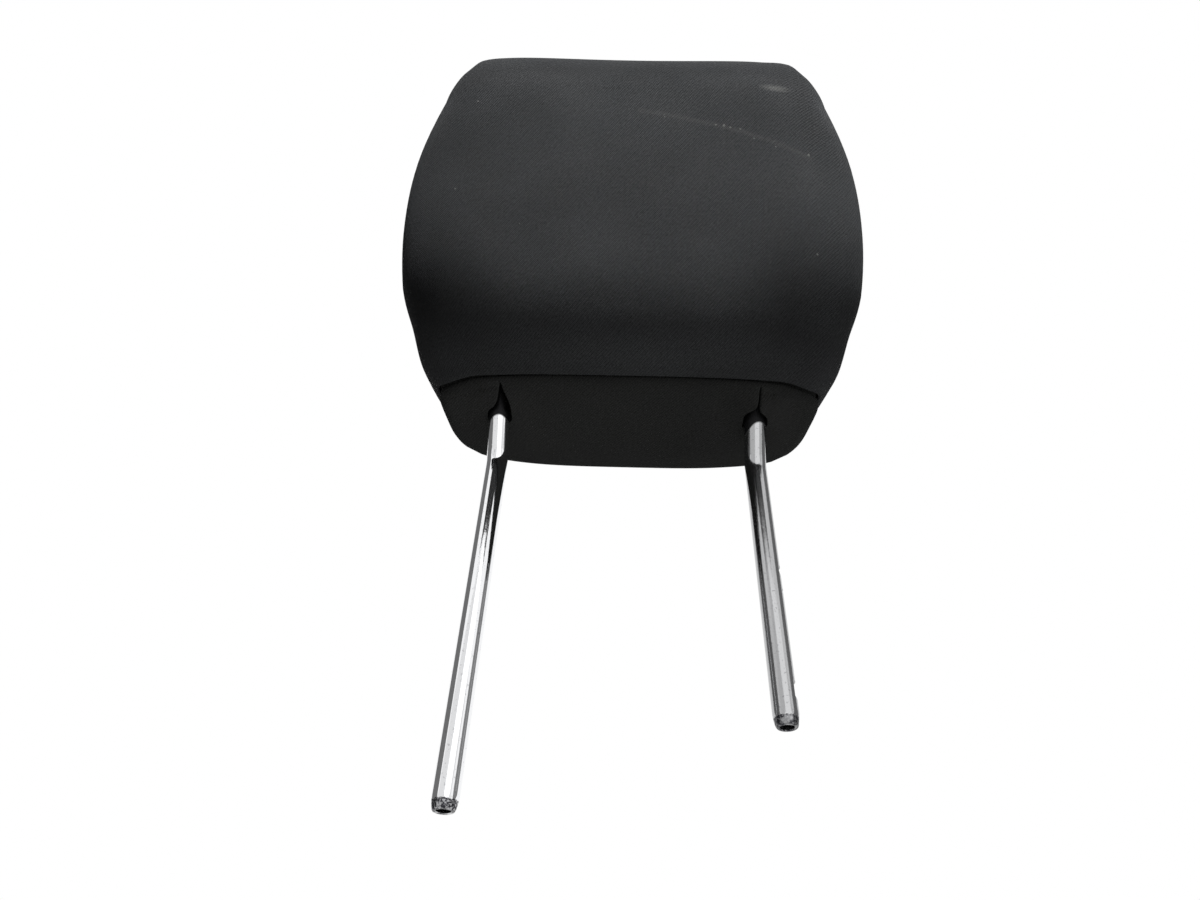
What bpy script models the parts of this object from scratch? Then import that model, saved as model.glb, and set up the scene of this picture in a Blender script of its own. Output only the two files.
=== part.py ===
"""Tilting head restraint: a padded cushion that swivels on the cross tube of two chromed posts.

Row frame, metres: x = 0 midway between the posts, y = 0 on the axes of the straight lower
posts, z = 0 at the end of the longer post. +Z runs up the posts, the padded face looks to -Y.
The cushion is laid out in its own plane (t forward, s up) about the swivel axis, and leans
forward by PAD_LEAN. All dimensions below are in millimetres.
"""

import math

import bmesh
import bpy
from mathutils import Matrix, Vector

MM = 0.001

# posts
TUBE_R = 6.0            # outer radius of posts and cross tube
TUBE_WALL = 2.0
POST_X = 73.0           # half the distance between the post axes
BEND_Z = 191.3          # where the two straight axes of a post would meet
BEND_R = 20.0           # radius of the bend's centre line
POST_LEAN = 31.0        # lean of the upper part, degrees forward
PIVOT_UP = 105.0        # bend to swivel axis, along the upper part
POST_OVER = 5.7         # post past the swivel axis
LEFT_END = 0.0          # height of each post's lower end
RIGHT_END = 39.8
TIP_R = 4.7             # flat end of the swaged tip
TIP_LEN = 7.5
TIP_BORE = 3.25
NOTCHES = (             # on the right post: from, to (above its end), depth, run-out of the lower flank
    (12.0, 21.0, 1.6, 1.2),
    (67.0, 69.2, 1.0, 0.4),
    (76.0, 82.5, 1.5, 3.0),
)
RING = 32               # sides of a tube
BEND_STEPS = 6

# cushion
PAD_LEAN = 28.0         # degrees forward
TILT = 12.0             # swivel range, degrees
SKIN = 2.4              # cover thickness
GAP = 0.3               # clearance between stacked pieces
SEAM_GAP = 0.25         # half the parting between the two covers
TOP_N = 4.9             # squareness of the top's sections
AROUND = 44             # points round a section
PANEL_Z = 213.0         # height of the level bottom panel

# stations from the bottom seam to the shoulder: s and t at the front, s and t at the back, half width, squareness
STATIONS = (
    (-63.8, 24.0, -92.5, -48.5, 112.0, 3.45),
    (-50.0, 33.5, -71.0, -49.0, 120.0, 3.6),
    (-30.0, 43.5, -42.0, -49.0, 125.3, 3.2),
    (-8.0, 48.4, -14.0, -48.6, 131.0, 3.0),
    (25.0, 49.6, 25.0, -47.6, 133.0, 3.0),
    (60.0, 49.0, 60.0, -46.0, 128.7, 3.1),
    (98.5, 46.8, 98.5, -43.4, 112.0, 4.3),
)
SEAM_ARCH = 11.0        # the bottom seam climbs by this much round the sides
SEAM_DIP = 4.0          # and drops by this much where it turns the front corners
BACK_NARROW = 0.095     # the lower end is narrower behind than in front
TOP_SAG = 3.5           # the top is lower in the middle than at its ends
TOP_LIFT = 0.7          # and stands a little higher at the left end
RINGS_PER_STATION = 2
TOP_RISE = 34.2         # height of the rounded top
TOP_ROLL = 29.1         # how far the top rolls in, front and back
TOP_NARROW = 26.0       # and at each side
TOP_RINGS = 5
EDGE_R = 5.2            # rounding between the bottom panel and the sides

# carrier inside the cushion
CARRIER_X = 86.0
CARRIER_LOW, CARRIER_HIGH = -47.0, 90.0
CARRIER_T = 22.0
WALL = 2.5
SLOT_HALF = 7.4         # half width of the post slots
SLOT_CLEAR = 1.3        # clearance fore and aft of a post in its slot
BUSH_X = 48.0
BUSH_BORE = 6.09
BUSH_R = 8.5
FLANGE_R = 10.6
CLIP_X = 20.0
CLIP_T = 1.0
CLIP_W = 10.0
CLIP_SCREW_S = -19.0
SHELL_SCREWS = ((-70.0, 74.0), (70.0, 74.0), (-38.0, -36.0), (38.0, -36.0))
SCREW_R = 1.5
STRIP_T = -38.4         # back face of the hooked closure strips
STRIP_HALF = 58.0

for o in list(bpy.data.objects):
    bpy.data.objects.remove(o, do_unlink=True)

scene = bpy.context.scene
part = bpy.data.collections.new("head_restraint")
scene.collection.children.link(part)
tools = bpy.data.collections.new("cutters")
tools.hide_render = True
scene.collection.children.link(tools)

POST_DIR = Vector((0, -math.sin(math.radians(POST_LEAN)), math.cos(math.radians(POST_LEAN))))
PIVOT = Vector((0, 0, BEND_Z)) + POST_DIR * PIVOT_UP
UP = Vector((0, -math.sin(math.radians(PAD_LEAN)), math.cos(math.radians(PAD_LEAN))))
FRONT = Vector((0, -math.cos(math.radians(PAD_LEAN)), -math.sin(math.radians(PAD_LEAN))))


def local(x, t, s):
    """A point of the cushion's plane in the row frame, mm."""
    return PIVOT + Vector((x, 0, 0)) + FRONT * t + UP * s


def to_local(p):
    d = Vector(p) - PIVOT
    return d.x, d.dot(FRONT), d.dot(UP)


# the cushion's own axes, which its pieces are modelled in: x, backward, up the cushion
pad_origin = bpy.data.objects.new("pad_axis", None)
pad_origin.location = PIVOT * MM
pad_origin.rotation_euler = (math.radians(PAD_LEAN), 0, 0)
part.objects.link(pad_origin)
on_the_pad = []


MATERIALS = {
    "chrome": ((0.80, 0.81, 0.83, 1), 1.0, 0.06),
    "steel": ((0.55, 0.56, 0.58, 1), 1.0, 0.35),
    "cover": ((0.028, 0.029, 0.031, 1), 0.0, 0.9),
    "panel": ((0.020, 0.020, 0.020, 1), 0.0, 0.9),
    "foam": ((0.78, 0.74, 0.58, 1), 0.0, 0.95),
    "carrier": ((0.05, 0.05, 0.055, 1), 0.0, 0.5),
    "bush": ((0.85, 0.85, 0.82, 1), 0.0, 0.4),
    "strip": ((0.12, 0.12, 0.13, 1), 0.0, 0.5),
}


def material(name, kind):
    base, metal, rough = MATERIALS[kind]
    m = bpy.data.materials.new(name)
    m.use_nodes = True
    b = m.node_tree.nodes["Principled BSDF"]
    b.inputs["Base Color"].default_value = base
    b.inputs["Metallic"].default_value = metal
    b.inputs["Roughness"].default_value = rough
    m.diffuse_color = base
    return m


def mesh_object(name, verts, faces, where, kind=None, on_pad=True):
    """Points in mm, row frame. A node of the cushion is kept in the cushion's axes, with its origin on the swivel axis."""
    if on_pad:
        points = [(x, -t, u) for x, t, u in map(to_local, verts)]
    else:
        points = [tuple(v) for v in verts]
    mesh = bpy.data.meshes.new(name)
    mesh.from_pydata([[round(c, 5) * MM for c in p] for p in points], [], [tuple(f) for f in faces])
    bm = bmesh.new()
    bm.from_mesh(mesh)
    bmesh.ops.recalc_face_normals(bm, faces=bm.faces)
    if bm.calc_volume(signed=True) < 0:
        bmesh.ops.reverse_faces(bm, faces=bm.faces)
    bm.to_mesh(mesh)
    bm.free()
    o = bpy.data.objects.new(name, mesh)
    where.objects.link(o)
    if on_pad:
        on_the_pad.append(o)
    if kind:
        mesh.materials.append(material(name, kind))
    else:
        o.display_type = "WIRE"
        o.hide_render = True
    return o


def prism(corners, x0, x1):
    """A polygon of (t, s) corners in the cushion's plane, run from x0 to x1."""
    n = len(corners)
    verts = [local(x, t, s) for x in (x0, x1) for t, s in corners]
    faces = [tuple(range(n)), tuple(range(2 * n - 1, n - 1, -1))]
    faces += [(i, (i + 1) % n, n + (i + 1) % n, n + i) for i in range(n)]
    return verts, faces


def box(x0, x1, t0, t1, s0, s1):
    return prism(((t0, s0), (t1, s0), (t1, s1), (t0, s1)), x0, x1)


def lathe(profile, axis_point, axis_dir, sides, turn=0.5):
    """A closed (r, along) outline turned about an axis."""
    d = Vector(axis_dir).normalized()
    a = d.orthogonal().normalized()
    if abs(d.x) < 0.5:
        a = Vector((1, 0, 0))
    b = d.cross(a)
    verts, faces, rows = [], [], []
    for r, h in profile:
        if r < 1e-9:
            rows.append([len(verts)] * sides)
            verts.append(Vector(axis_point) + d * h)
        else:
            rows.append(list(range(len(verts), len(verts) + sides)))
            for i in range(sides):
                g = 2 * math.pi * (i + turn) / sides
                verts.append(Vector(axis_point) + d * h + (a * math.cos(g) + b * math.sin(g)) * r)
    for k in range(len(rows)):
        p, q = rows[k], rows[(k + 1) % len(rows)]
        if p[0] == p[1] and q[0] == q[1]:
            continue
        for i in range(sides):
            j = (i + 1) % sides
            f = [p[i], p[j], q[j], q[i]]
            f = [v for n, v in enumerate(f) if v not in f[:n]]
            faces.append(f)
    return verts, faces


def cylinder(r, x, t, s, direction, h0, h1, sides=24):
    return lathe(((0, h0), (r, h0), (r, h1), (0, h1)), local(x, t, s), direction, sides)


def boolean(target, tool, operation="DIFFERENCE"):
    """Cuts or joins at once, and tidies the mesh before the next cut."""
    m = target.modifiers.new(tool.name, "BOOLEAN")
    m.solver = "EXACT"
    m.operation = operation
    m.object = tool
    bake(target)


count = [0]


def cutter(shape, on_pad=True):
    count[0] += 1
    return mesh_object("cutter_%02d" % count[0], shape[0], shape[1], tools, on_pad=on_pad)


def bake(o):
    """Applies the modifiers, keeping the object's own matrix."""
    graph = bpy.context.evaluated_depsgraph_get()
    made = bpy.data.meshes.new_from_object(o.evaluated_get(graph))
    bm = bmesh.new()
    bm.from_mesh(made)
    bmesh.ops.remove_doubles(bm, verts=bm.verts, dist=2e-6)
    bmesh.ops.dissolve_degenerate(bm, edges=bm.edges, dist=2e-6)
    bm.to_mesh(made)
    bm.free()
    o.modifiers.clear()
    o.data = made
    return o


# ---------------------------------------------------------------- posts

def post_path(end_z):
    """(point, along) stations of a post's axis, from its lower end to its top."""
    half = math.radians(POST_LEAN) / 2
    run = BEND_R * math.tan(half)
    low = Vector((0, 0, BEND_Z - run))
    centre = low + Vector((0, -BEND_R, 0))
    points = []
    for i in range(BEND_STEPS + 1):
        g = 2 * half * i / BEND_STEPS
        points.append(centre + Vector((0, math.cos(g), math.sin(g))) * BEND_R)
    top = PIVOT + POST_DIR * POST_OVER
    return [Vector((0, 0, end_z))] + points + [top]


def post(name, x, end_z):
    path = post_path(end_z)
    outer, inner = [], []          # (point, direction, radius)
    tip = ((TIP_R, 0.0), (TIP_R + 0.55, 0.45), (TUBE_R - 0.45, 4.2), (TUBE_R - 0.1, 6.0), (TUBE_R, TIP_LEN))
    up = Vector((0, 0, 1))
    for r, h in tip:
        outer.append((Vector((0, 0, end_z + h)), up, r))
    for r, h in ((TIP_BORE, 0.0), (TIP_BORE, 3.5), (TUBE_R - TUBE_WALL, TIP_LEN)):
        inner.append((Vector((0, 0, end_z + h)), up, r))
    for i, p in enumerate(path[1:]):
        n = i / BEND_STEPS
        g = math.radians(POST_LEAN) * min(n, 1)
        d = Vector((0, -math.sin(g), math.cos(g)))
        outer.append((p, d, TUBE_R))
        inner.append((p, d, TUBE_R - TUBE_WALL))
    verts, faces = [], []
    rows = []
    for p, d, r in outer + inner[::-1]:
        a = Vector((1, 0, 0))
        b = d.cross(a)
        rows.append(list(range(len(verts), len(verts) + RING)))
        for i in range(RING):
            g = 2 * math.pi * (i + 0.5) / RING
            verts.append(p + Vector((x, 0, 0)) + (a * math.cos(g) + b * math.sin(g)) * r)
    for k in range(len(rows)):
        p, q = rows[k], rows[(k + 1) % len(rows)]
        for i in range(RING):
            j = (i + 1) % RING
            faces.append((p[i], p[j], q[j], q[i]))
    return mesh_object(name, verts, faces, part, "chrome", on_pad=False)


left_post = post("left_post", -POST_X, LEFT_END)
right_post = post("right_post", POST_X, RIGHT_END)

for low, high, deep, run in NOTCHES:
    x0 = POST_X + TUBE_R - deep
    x1 = POST_X + TUBE_R + 3
    z0, z1 = RIGHT_END + low, RIGHT_END + high
    outline = ((x0, z0 + run), (x1, z0 - run * 3 / deep), (x1, z1 + 0.6), (x0, z1))
    verts = [Vector((px, y, pz)) for y in (-9, 9) for px, pz in outline]
    faces = [(0, 1, 2, 3), (7, 6, 5, 4), (0, 4, 5, 1), (1, 5, 6, 2), (2, 6, 7, 3), (3, 7, 4, 0)]
    boolean(right_post, cutter((verts, faces), on_pad=False))
bake(right_post)

reach = POST_X - TUBE_R - 0.1
verts, faces = lathe(
    ((TUBE_R, -reach), (TUBE_R, reach), (TUBE_R - TUBE_WALL, reach), (TUBE_R - TUBE_WALL, -reach)),
    PIVOT, (1, 0, 0), RING)
cross_tube = mesh_object("cross_tube", verts, faces, part, "steel", on_pad=False)

# a plate welded on top of the cross tube; it stands in the posts' plane, between the two stops
lean = math.radians(POST_LEAN - PAD_LEAN)


def in_post_plane(t, s):
    """(t, s) turned from the cushion's plane into the posts' plane."""
    return t * math.cos(lean) + s * math.sin(lean), s * math.cos(lean) - t * math.sin(lean)


tab = [in_post_plane(t, s) for t, s in ((-2, 6.15), (2, 6.15), (2, 15.5), (1, 16.5), (-1, 16.5), (-2, 15.5))]
verts, faces = prism(tab, -8, 8)
tilt_stop_tab = mesh_object("tilt_stop_tab", verts, faces, part, "steel", on_pad=False)


# ---------------------------------------------------------------- cushion surface

def spline(values, u):
    """Catmull-Rom through evenly numbered values."""
    n = len(values) - 1
    i = min(int(u), n - 1)
    f = u - i
    p0 = values[i - 1] if i else 2 * values[0] - values[1]
    p3 = values[i + 2] if i + 2 <= n else 2 * values[n] - values[n - 1]
    p1, p2 = values[i], values[i + 1]
    return 0.5 * (2 * p1 + (p2 - p0) * f + (2 * p0 - 5 * p1 + 4 * p2 - p3) * f * f
                  + (3 * p1 - p0 - 3 * p2 + p3) * f ** 3)


def section_angles():
    """Angles round a section, closer together where the superellipse turns."""
    out = []
    for i in range(AROUND):
        g = 2 * math.pi * i / AROUND
        out.append(g - 0.16 * math.sin(4 * g))
    return out


def smooth(u):
    u = min(max(u, 0.0), 1.0)
    return u * u * (3 - 2 * u)


def ring(sf, tf, sb, tb, w, n, arch=0.0, dip=0.0, low=0.0, high=0.0):
    """One closed section: from (tf, sf) in front to (tb, sb) at the back, w wide each way.
    low and high run from 0 to 1 towards the seam and towards the top."""
    points = []
    for g in section_angles():
        c, d = math.cos(g), math.sin(g)
        across = math.copysign(abs(c) ** (2 / n), c)
        k = math.copysign(abs(d) ** (2 / n), d)
        px = across * w * (1 - BACK_NARROW * low * (1 - k) / 2)
        t = (tf + tb) / 2 + k * (tf - tb) / 2
        s = (sf + sb) / 2 + k * (sf - sb) / 2 + arch * (1 - k * k) * across ** 2
        s -= dip * smooth((abs(across) - 0.74) / 0.2)
        s += high * (TOP_SAG * (across ** 2 - 0.5) - TOP_LIFT * across)
        points.append(local(px, t, s))
    return points


def panel_s(t):
    """s of the level bottom panel at t."""
    return (PANEL_Z - PIVOT.z + math.sin(math.radians(PAD_LEAN)) * t) / math.cos(math.radians(PAD_LEAN))


def outer_rings():
    """Rings from the middle of the bottom panel to the middle of the top, and the seam's number."""
    sf, tf, sb, tb, w, n = STATIONS[0]
    rings = []
    flat_f, flat_b, flat_w = tf - EDGE_R - 1.5, tb + EDGE_R + 1.5, w - EDGE_R - 3
    mid = (flat_f + flat_b) / 2
    for k in (0.45, 1.0):
        f, b = mid + (flat_f - mid) * k, mid + (flat_b - mid) * k
        rings.append(ring(panel_s(f), f, panel_s(b), b, flat_w * (0.35 + 0.65 * k), n, low=1))
    # rounding up to the seam
    for g in (30, 58):
        a = math.radians(g)
        f = flat_f + (tf - flat_f) * math.sin(a)
        b = flat_b + (tb + 0.4 - flat_b) * math.sin(a)
        ps, pb = panel_s(f), panel_s(b)
        rings.append(ring(ps + (sf - panel_s(tf)) * (1 - math.cos(a)), f,
                          pb + (sb - panel_s(tb)) * (1 - math.cos(a)) * 0.7, b,
                          flat_w + (w - 0.6 - flat_w) * math.sin(a), n, SEAM_ARCH * (1 - math.cos(a)) * 0.8,
                          SEAM_DIP * (1 - math.cos(a)) * 0.8, low=1))
    seam = len(rings)
    steps = (len(STATIONS) - 1) * RINGS_PER_STATION
    for i in range(steps + 1):
        u = i / RINGS_PER_STATION
        v = [spline([st[c] for st in STATIONS], u) for c in range(6)]
        low = max(0, 1 - u / 3)
        rings.append(ring(*v, arch=SEAM_ARCH * low ** 2, dip=SEAM_DIP * low ** 2, low=low, high=smooth(u / 3 - 1)))
    sf, tf, sb, tb, w, n = STATIONS[-1]
    drop = (STATIONS[-2][4] - w) / (sf - STATIONS[-2][0])
    for i in range(1, TOP_RINGS + 1):
        a = math.pi / 2 * i / TOP_RINGS
        s = sf + TOP_RISE * math.sin(a)
        roll = TOP_ROLL * (1 - math.cos(a))
        wide = w - drop * TOP_RISE * math.sin(a) * 0.55 - (TOP_NARROW - drop * TOP_RISE * 0.55) * (1 - math.cos(a))
        rings.append(ring(s, tf - roll, s, tb + roll, wide, n + (TOP_N - n) * i / TOP_RINGS, high=1))
    s, tf, tb, w = s, tf - roll, tb + roll, wide
    rings.append(ring(s + 0.5, (tf + tb) / 2 + (tf - tb) * 0.22, s + 0.5, (tf + tb) / 2 - (tf - tb) * 0.22, w * 0.72, TOP_N, high=0.72))
    return rings, seam


def grid_normals(rings):
    """Outward unit normals of a stack of closed rings."""
    out = []
    rows, n = len(rings), len(rings[0])
    for k in range(rows):
        line = []
        for i in range(n):
            across = rings[k][(i + 1) % n] - rings[k][i - 1]
            along = rings[min(k + 1, rows - 1)][i] - rings[max(k - 1, 0)][i]
            d = across.cross(along)
            line.append(d.normalized() if d.length > 1e-9 else Vector((0, 0, 1)))
        out.append(line)
    centre = sum((sum(r, Vector()) / len(r) for r in rings), Vector()) / rows
    if (rings[rows // 2][0] - centre).dot(out[rows // 2][0]) < 0:
        out = [[-v for v in line] for line in out]
    # the flat ends: straight down under the panel, straight up the cushion on top
    out[0] = [Vector((0, 0, -1))] * n
    out[-1] = [UP.copy()] * n
    return out


def offset(rings, normals, by):
    return [[p - d * by for p, d in zip(r, m)] for r, m in zip(rings, normals)]


def cap(n, first):
    """Strips across a ring from front to back, where point i lies behind point n - i."""
    faces = []
    for i in range(n // 2):
        f = [first + v % n for v in (i, i + 1, n - i - 1, n - i)]
        faces.append(tuple(v for m, v in enumerate(f) if v not in f[:m]))
    return faces


def stack(rings, cap_low=True, cap_high=True):
    """A closed tube of rings, capped across each end."""
    n = len(rings[0])
    verts = [p for r in rings for p in r]
    faces = []
    for k in range(len(rings) - 1):
        for i in range(n):
            j = (i + 1) % n
            faces.append((k * n + i, k * n + j, (k + 1) * n + j, (k + 1) * n + i))
    if cap_low:
        faces += [f[::-1] for f in cap(n, 0)]
    if cap_high:
        faces += cap(n, (len(rings) - 1) * n)
    return verts, faces


def shell(outer, inner, open_low):
    """A cup between two stacks, open at the bottom or at the top, where a rim joins them."""
    n = len(outer[0])
    a, fa = stack(outer, cap_low=not open_low, cap_high=open_low)
    b, fb = stack(inner, cap_low=not open_low, cap_high=open_low)
    base = len(a)
    faces = fa + [tuple(v + base for v in reversed(f)) for f in fb]
    row = 0 if open_low else (len(outer) - 1) * n
    for i in range(n):
        j = (i + 1) % n
        f = (row + i, row + j, base + row + j, base + row + i)
        faces.append(f if not open_low else f[::-1])
    return a + b, faces


RINGS, SEAM = outer_rings()
NORMALS = grid_normals(RINGS)
INNER = offset(RINGS, NORMALS, SKIN)


def shift(ring_points, toward, by):
    """Moves a ring's points toward another ring's."""
    return [p + (q - p).normalized() * by for p, q in zip(ring_points, toward)]


def part_of(rings, seam, upper):
    if upper:
        return [shift(rings[seam], rings[seam + 1], SEAM_GAP)] + rings[seam + 1:]
    return rings[:seam] + [shift(rings[seam], rings[seam - 1], SEAM_GAP)]


verts, faces = shell(part_of(RINGS, SEAM, True), part_of(INNER, SEAM, True), open_low=True)
main_cover = mesh_object("main_cover", verts, faces, part, "cover")
verts, faces = shell(part_of(RINGS, SEAM, False), part_of(INNER, SEAM, False), open_low=False)
bottom_cover = mesh_object("bottom_cover", verts, faces, part, "panel")

FOAM_RINGS = offset(RINGS, NORMALS, SKIN + GAP)


def slot_outline(low):
    """(t, s) corners of the room a post sweeps over the whole swivel range, down to s = low."""
    back = math.radians(POST_LEAN - PAD_LEAN)
    fore = math.radians(TILT) - back
    reach = TUBE_R + SLOT_CLEAR
    tb = low * math.tan(back) - reach / math.cos(back)
    tf = -low * math.tan(fore) + reach / math.cos(fore)
    top = 9.5
    return ((tb, low), (tf, low), (reach + 1.0, 0), (reach + 1.0, top), (-reach - 1.0, top), (-reach - 1.0, 0))


def slot(side, low=-125.0, extra=0.0):
    return prism(slot_outline(low), side * POST_X - SLOT_HALF - extra, side * POST_X + SLOT_HALF + extra)


def rounded_slot(side, low=-125.0):
    """The same room with rounded ends fore and aft, for the covers and the foam."""
    corners = slot_outline(low)
    tb, tf = corners[0][0], corners[1][0]
    rows = []
    for s, b, f in ((low, tb, tf), (-40.0, None, None)):
        if b is None:
            b = corners[5][0] + (tb - corners[5][0]) * (s / low)
            f = corners[2][0] + (tf - corners[2][0]) * (s / low)
        row = []
        r = SLOT_HALF
        for i in range(20):
            g = 2 * math.pi * (i + 0.5) / 20
            c, d = math.cos(g) * r, math.sin(g) * r
            t = (f - r + max(d, 0)) if d > 0 else (b + r + min(d, 0))
            row.append(local(side * POST_X + c, t, s))
        rows.append(row)
    return stack(rows)


for side in (-1, 1):
    boolean(bottom_cover, cutter(rounded_slot(side)))
bake(bottom_cover)

# ---------------------------------------------------------------- foam

CARRIER_ROOM = box(-CARRIER_X - GAP, CARRIER_X + GAP, -CARRIER_T - GAP, CARRIER_T + GAP,
                   CARRIER_LOW - GAP, CARRIER_HIGH + GAP)
STRIP_ROOM = box(-STRIP_HALF - 3, STRIP_HALF + 3, -60, STRIP_T + 8.4, -90.3, -75.5)
for name, t0, t1 in (("front_foam", -80, 0.2), ("rear_foam", -0.2, 80)):
    verts, faces = stack(FOAM_RINGS)
    foam = mesh_object(name, verts, faces, part, "foam")
    boolean(foam, cutter(box(-200, 200, t0, t1, -200, 200)))
    boolean(foam, cutter(CARRIER_ROOM))
    for side in (-1, 1):
        boolean(foam, cutter(slot(side)))
    if name == "rear_foam":
        boolean(foam, cutter(STRIP_ROOM))
    bake(foam)

# ---------------------------------------------------------------- carrier


def union_all(name, shapes, kind, cuts):
    base = mesh_object(name, shapes[0][0], shapes[0][1], part, kind)
    for shape in shapes[1:]:
        boolean(base, cutter(shape), "UNION")
    for shape in cuts:
        boolean(base, cutter(shape))
    return bake(base)


def tray(sign):
    """The tray's outer box less its inside; sign is -1 for the rear half, 1 for the front half."""
    outer = box(-CARRIER_X, CARRIER_X, *sorted((sign * 0.2, sign * CARRIER_T)), CARRIER_LOW, CARRIER_HIGH)
    inside = box(-CARRIER_X + WALL, CARRIER_X - WALL, *sorted((-sign * 5, sign * (CARRIER_T - WALL))),
                 CARRIER_LOW + WALL, CARRIER_HIGH - WALL)
    return outer, inside


def carrier_half(name, sign):
    outer, inside = tray(sign)
    deep = sign * (CARRIER_T - WALL + 0.8)
    adds, cuts = [], []
    for side in (-1, 1):
        # saddle rib for the swivel bush
        adds.append(box(side * BUSH_X - 6.5, side * BUSH_X + 6.5, *sorted((sign * 0.2, deep)), -13, 13))
        cuts.append(cylinder(BUSH_R + 0.15, side * BUSH_X, 0, 0, (1, 0, 0), -8, 8, 40))
    for x, s in SHELL_SCREWS:
        adds.append(cylinder(4.2 if sign < 0 else 5.0, x, 0, s, FRONT * sign, 0.2, CARRIER_T - 0.8))
    if sign < 0:
        for side in (-1, 1):
            adds.append(box(side * CLIP_X - 5, side * CLIP_X + 5, -CARRIER_T + 0.8,
                            -BUSH_BORE - CLIP_T - 0.25, CLIP_SCREW_S - 5, CLIP_SCREW_S + 5))
            cuts.append(cylinder(SCREW_R + 0.12, side * CLIP_X, 0, CLIP_SCREW_S, FRONT, -17.5, 0))
        adds.append(box(-6.5, 6.5, -CARRIER_T + 0.8, -4.9, 9.2, 17.5))
        for x, s in SHELL_SCREWS:
            cuts.append(cylinder(SCREW_R + 0.12, x, 0, s, FRONT, -14.5, 3))
    else:
        adds.append(box(-6.5, 6.5, 3.15, CARRIER_T - 0.8, 9.2, 17.5))
        for x, s in SHELL_SCREWS:
            cuts.append(cylinder(SCREW_R + 0.25, x, 0, s, FRONT, -3, 30))
            cuts.append(cylinder(3.7, x, 0, s, FRONT, CARRIER_T - 3.6, 30))
    for side in (-1, 1):
        cuts.append(slot(side))
    base = mesh_object(name, outer[0], outer[1], part, "carrier")
    boolean(base, cutter(inside))
    for shape in adds:
        boolean(base, cutter(shape), "UNION")
    for shape in cuts:
        boolean(base, cutter(shape))
    return bake(base)


carrier_half("rear_carrier", -1)
carrier_half("front_carrier", 1)

for word, side in (("left", -1), ("right", 1)):
    # flanged swivel bush
    a, b = 6.9, 8.9
    profile = ((BUSH_BORE, -b), (FLANGE_R, -b), (FLANGE_R, -a), (BUSH_R, -a),
               (BUSH_R, a), (FLANGE_R, a), (FLANGE_R, b), (BUSH_BORE, b))
    verts, faces = lathe(profile, local(side * BUSH_X, 0, 0), (1, 0, 0), RING)
    mesh_object(word + "_swivel_bush", verts, faces, part, "bush")

    # friction clip: a band round the cross tube and a foot screwed to the rear carrier
    x0 = side * CLIP_X
    outer_r = BUSH_BORE + CLIP_T
    verts, faces = lathe(((BUSH_BORE, -CLIP_W / 2), (outer_r, -CLIP_W / 2), (outer_r, CLIP_W / 2), (BUSH_BORE, CLIP_W / 2)),
                         local(x0, 0, 0), (1, 0, 0), RING)
    clip = mesh_object(word + "_friction_clip", verts, faces, part, "steel")
    boolean(clip, cutter(box(x0 - CLIP_W / 2 + 0.3, x0 + CLIP_W / 2 - 0.3, -7.0, -6.2, CLIP_SCREW_S - 5, -0.4)), "UNION")
    boolean(clip, cutter(cylinder(SCREW_R + 0.25, x0, 0, CLIP_SCREW_S, FRONT, -12, 0)))
    bake(clip)

    head = -BUSH_BORE + 0.1
    verts, faces = lathe(((0, -16.5), (0.5, -16.5), (SCREW_R, -15.0), (SCREW_R, head), (3.2, head), (3.2, head + 1.2),
                          (2.4, head + 1.9), (0, head + 1.9)), local(x0, 0, CLIP_SCREW_S), FRONT, 20)
    mesh_object(word + "_clip_screw", verts, faces, part, "steel")

for n, (x, s) in enumerate(SHELL_SCREWS, 1):
    head = CARRIER_T - 3.5
    verts, faces = lathe(((0, -13.5), (0.5, -13.5), (SCREW_R, -12.0), (SCREW_R, head), (3.3, head), (3.3, head + 1.4),
                          (2.5, head + 2.1), (0, head + 2.1)), local(x, 0, s), FRONT, 20)
    mesh_object("carrier_screw_%d" % n, verts, faces, part, "steel")

# ---------------------------------------------------------------- closure strips of the cover

# two J-shaped strips hooked together behind the bottom panel's rear edge
HOOK = ((0, -77.0), (0, -88.5), (4.5, -88.5), (4.5, -83.5), (3.0, -83.5), (3.0, -87.0), (1.5, -87.0), (1.5, -77.0))
CATCH = ((7.3, -89.2), (5.8, -89.2), (5.8, -81.6), (2.7, -81.6), (2.7, -86.5), (1.8, -86.5), (1.8, -80.1), (7.3, -80.1))
for name, outline in (("cover_hook_strip", HOOK), ("panel_catch_strip", CATCH)):
    verts, faces = prism([(STRIP_T + t, s) for t, s in outline], -STRIP_HALF, STRIP_HALF)
    mesh_object(name, verts, faces, part, "strip")

for o in on_the_pad:
    o.parent = pad_origin
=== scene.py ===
"""Visual model of the tilting head restraint: fabric covers, chromed posts, materials, light and camera."""
import math

import bmesh
import bpy
import numpy as np
from mathutils import Matrix, Vector, geometry
from mathutils.bvhtree import BVHTree


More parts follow.
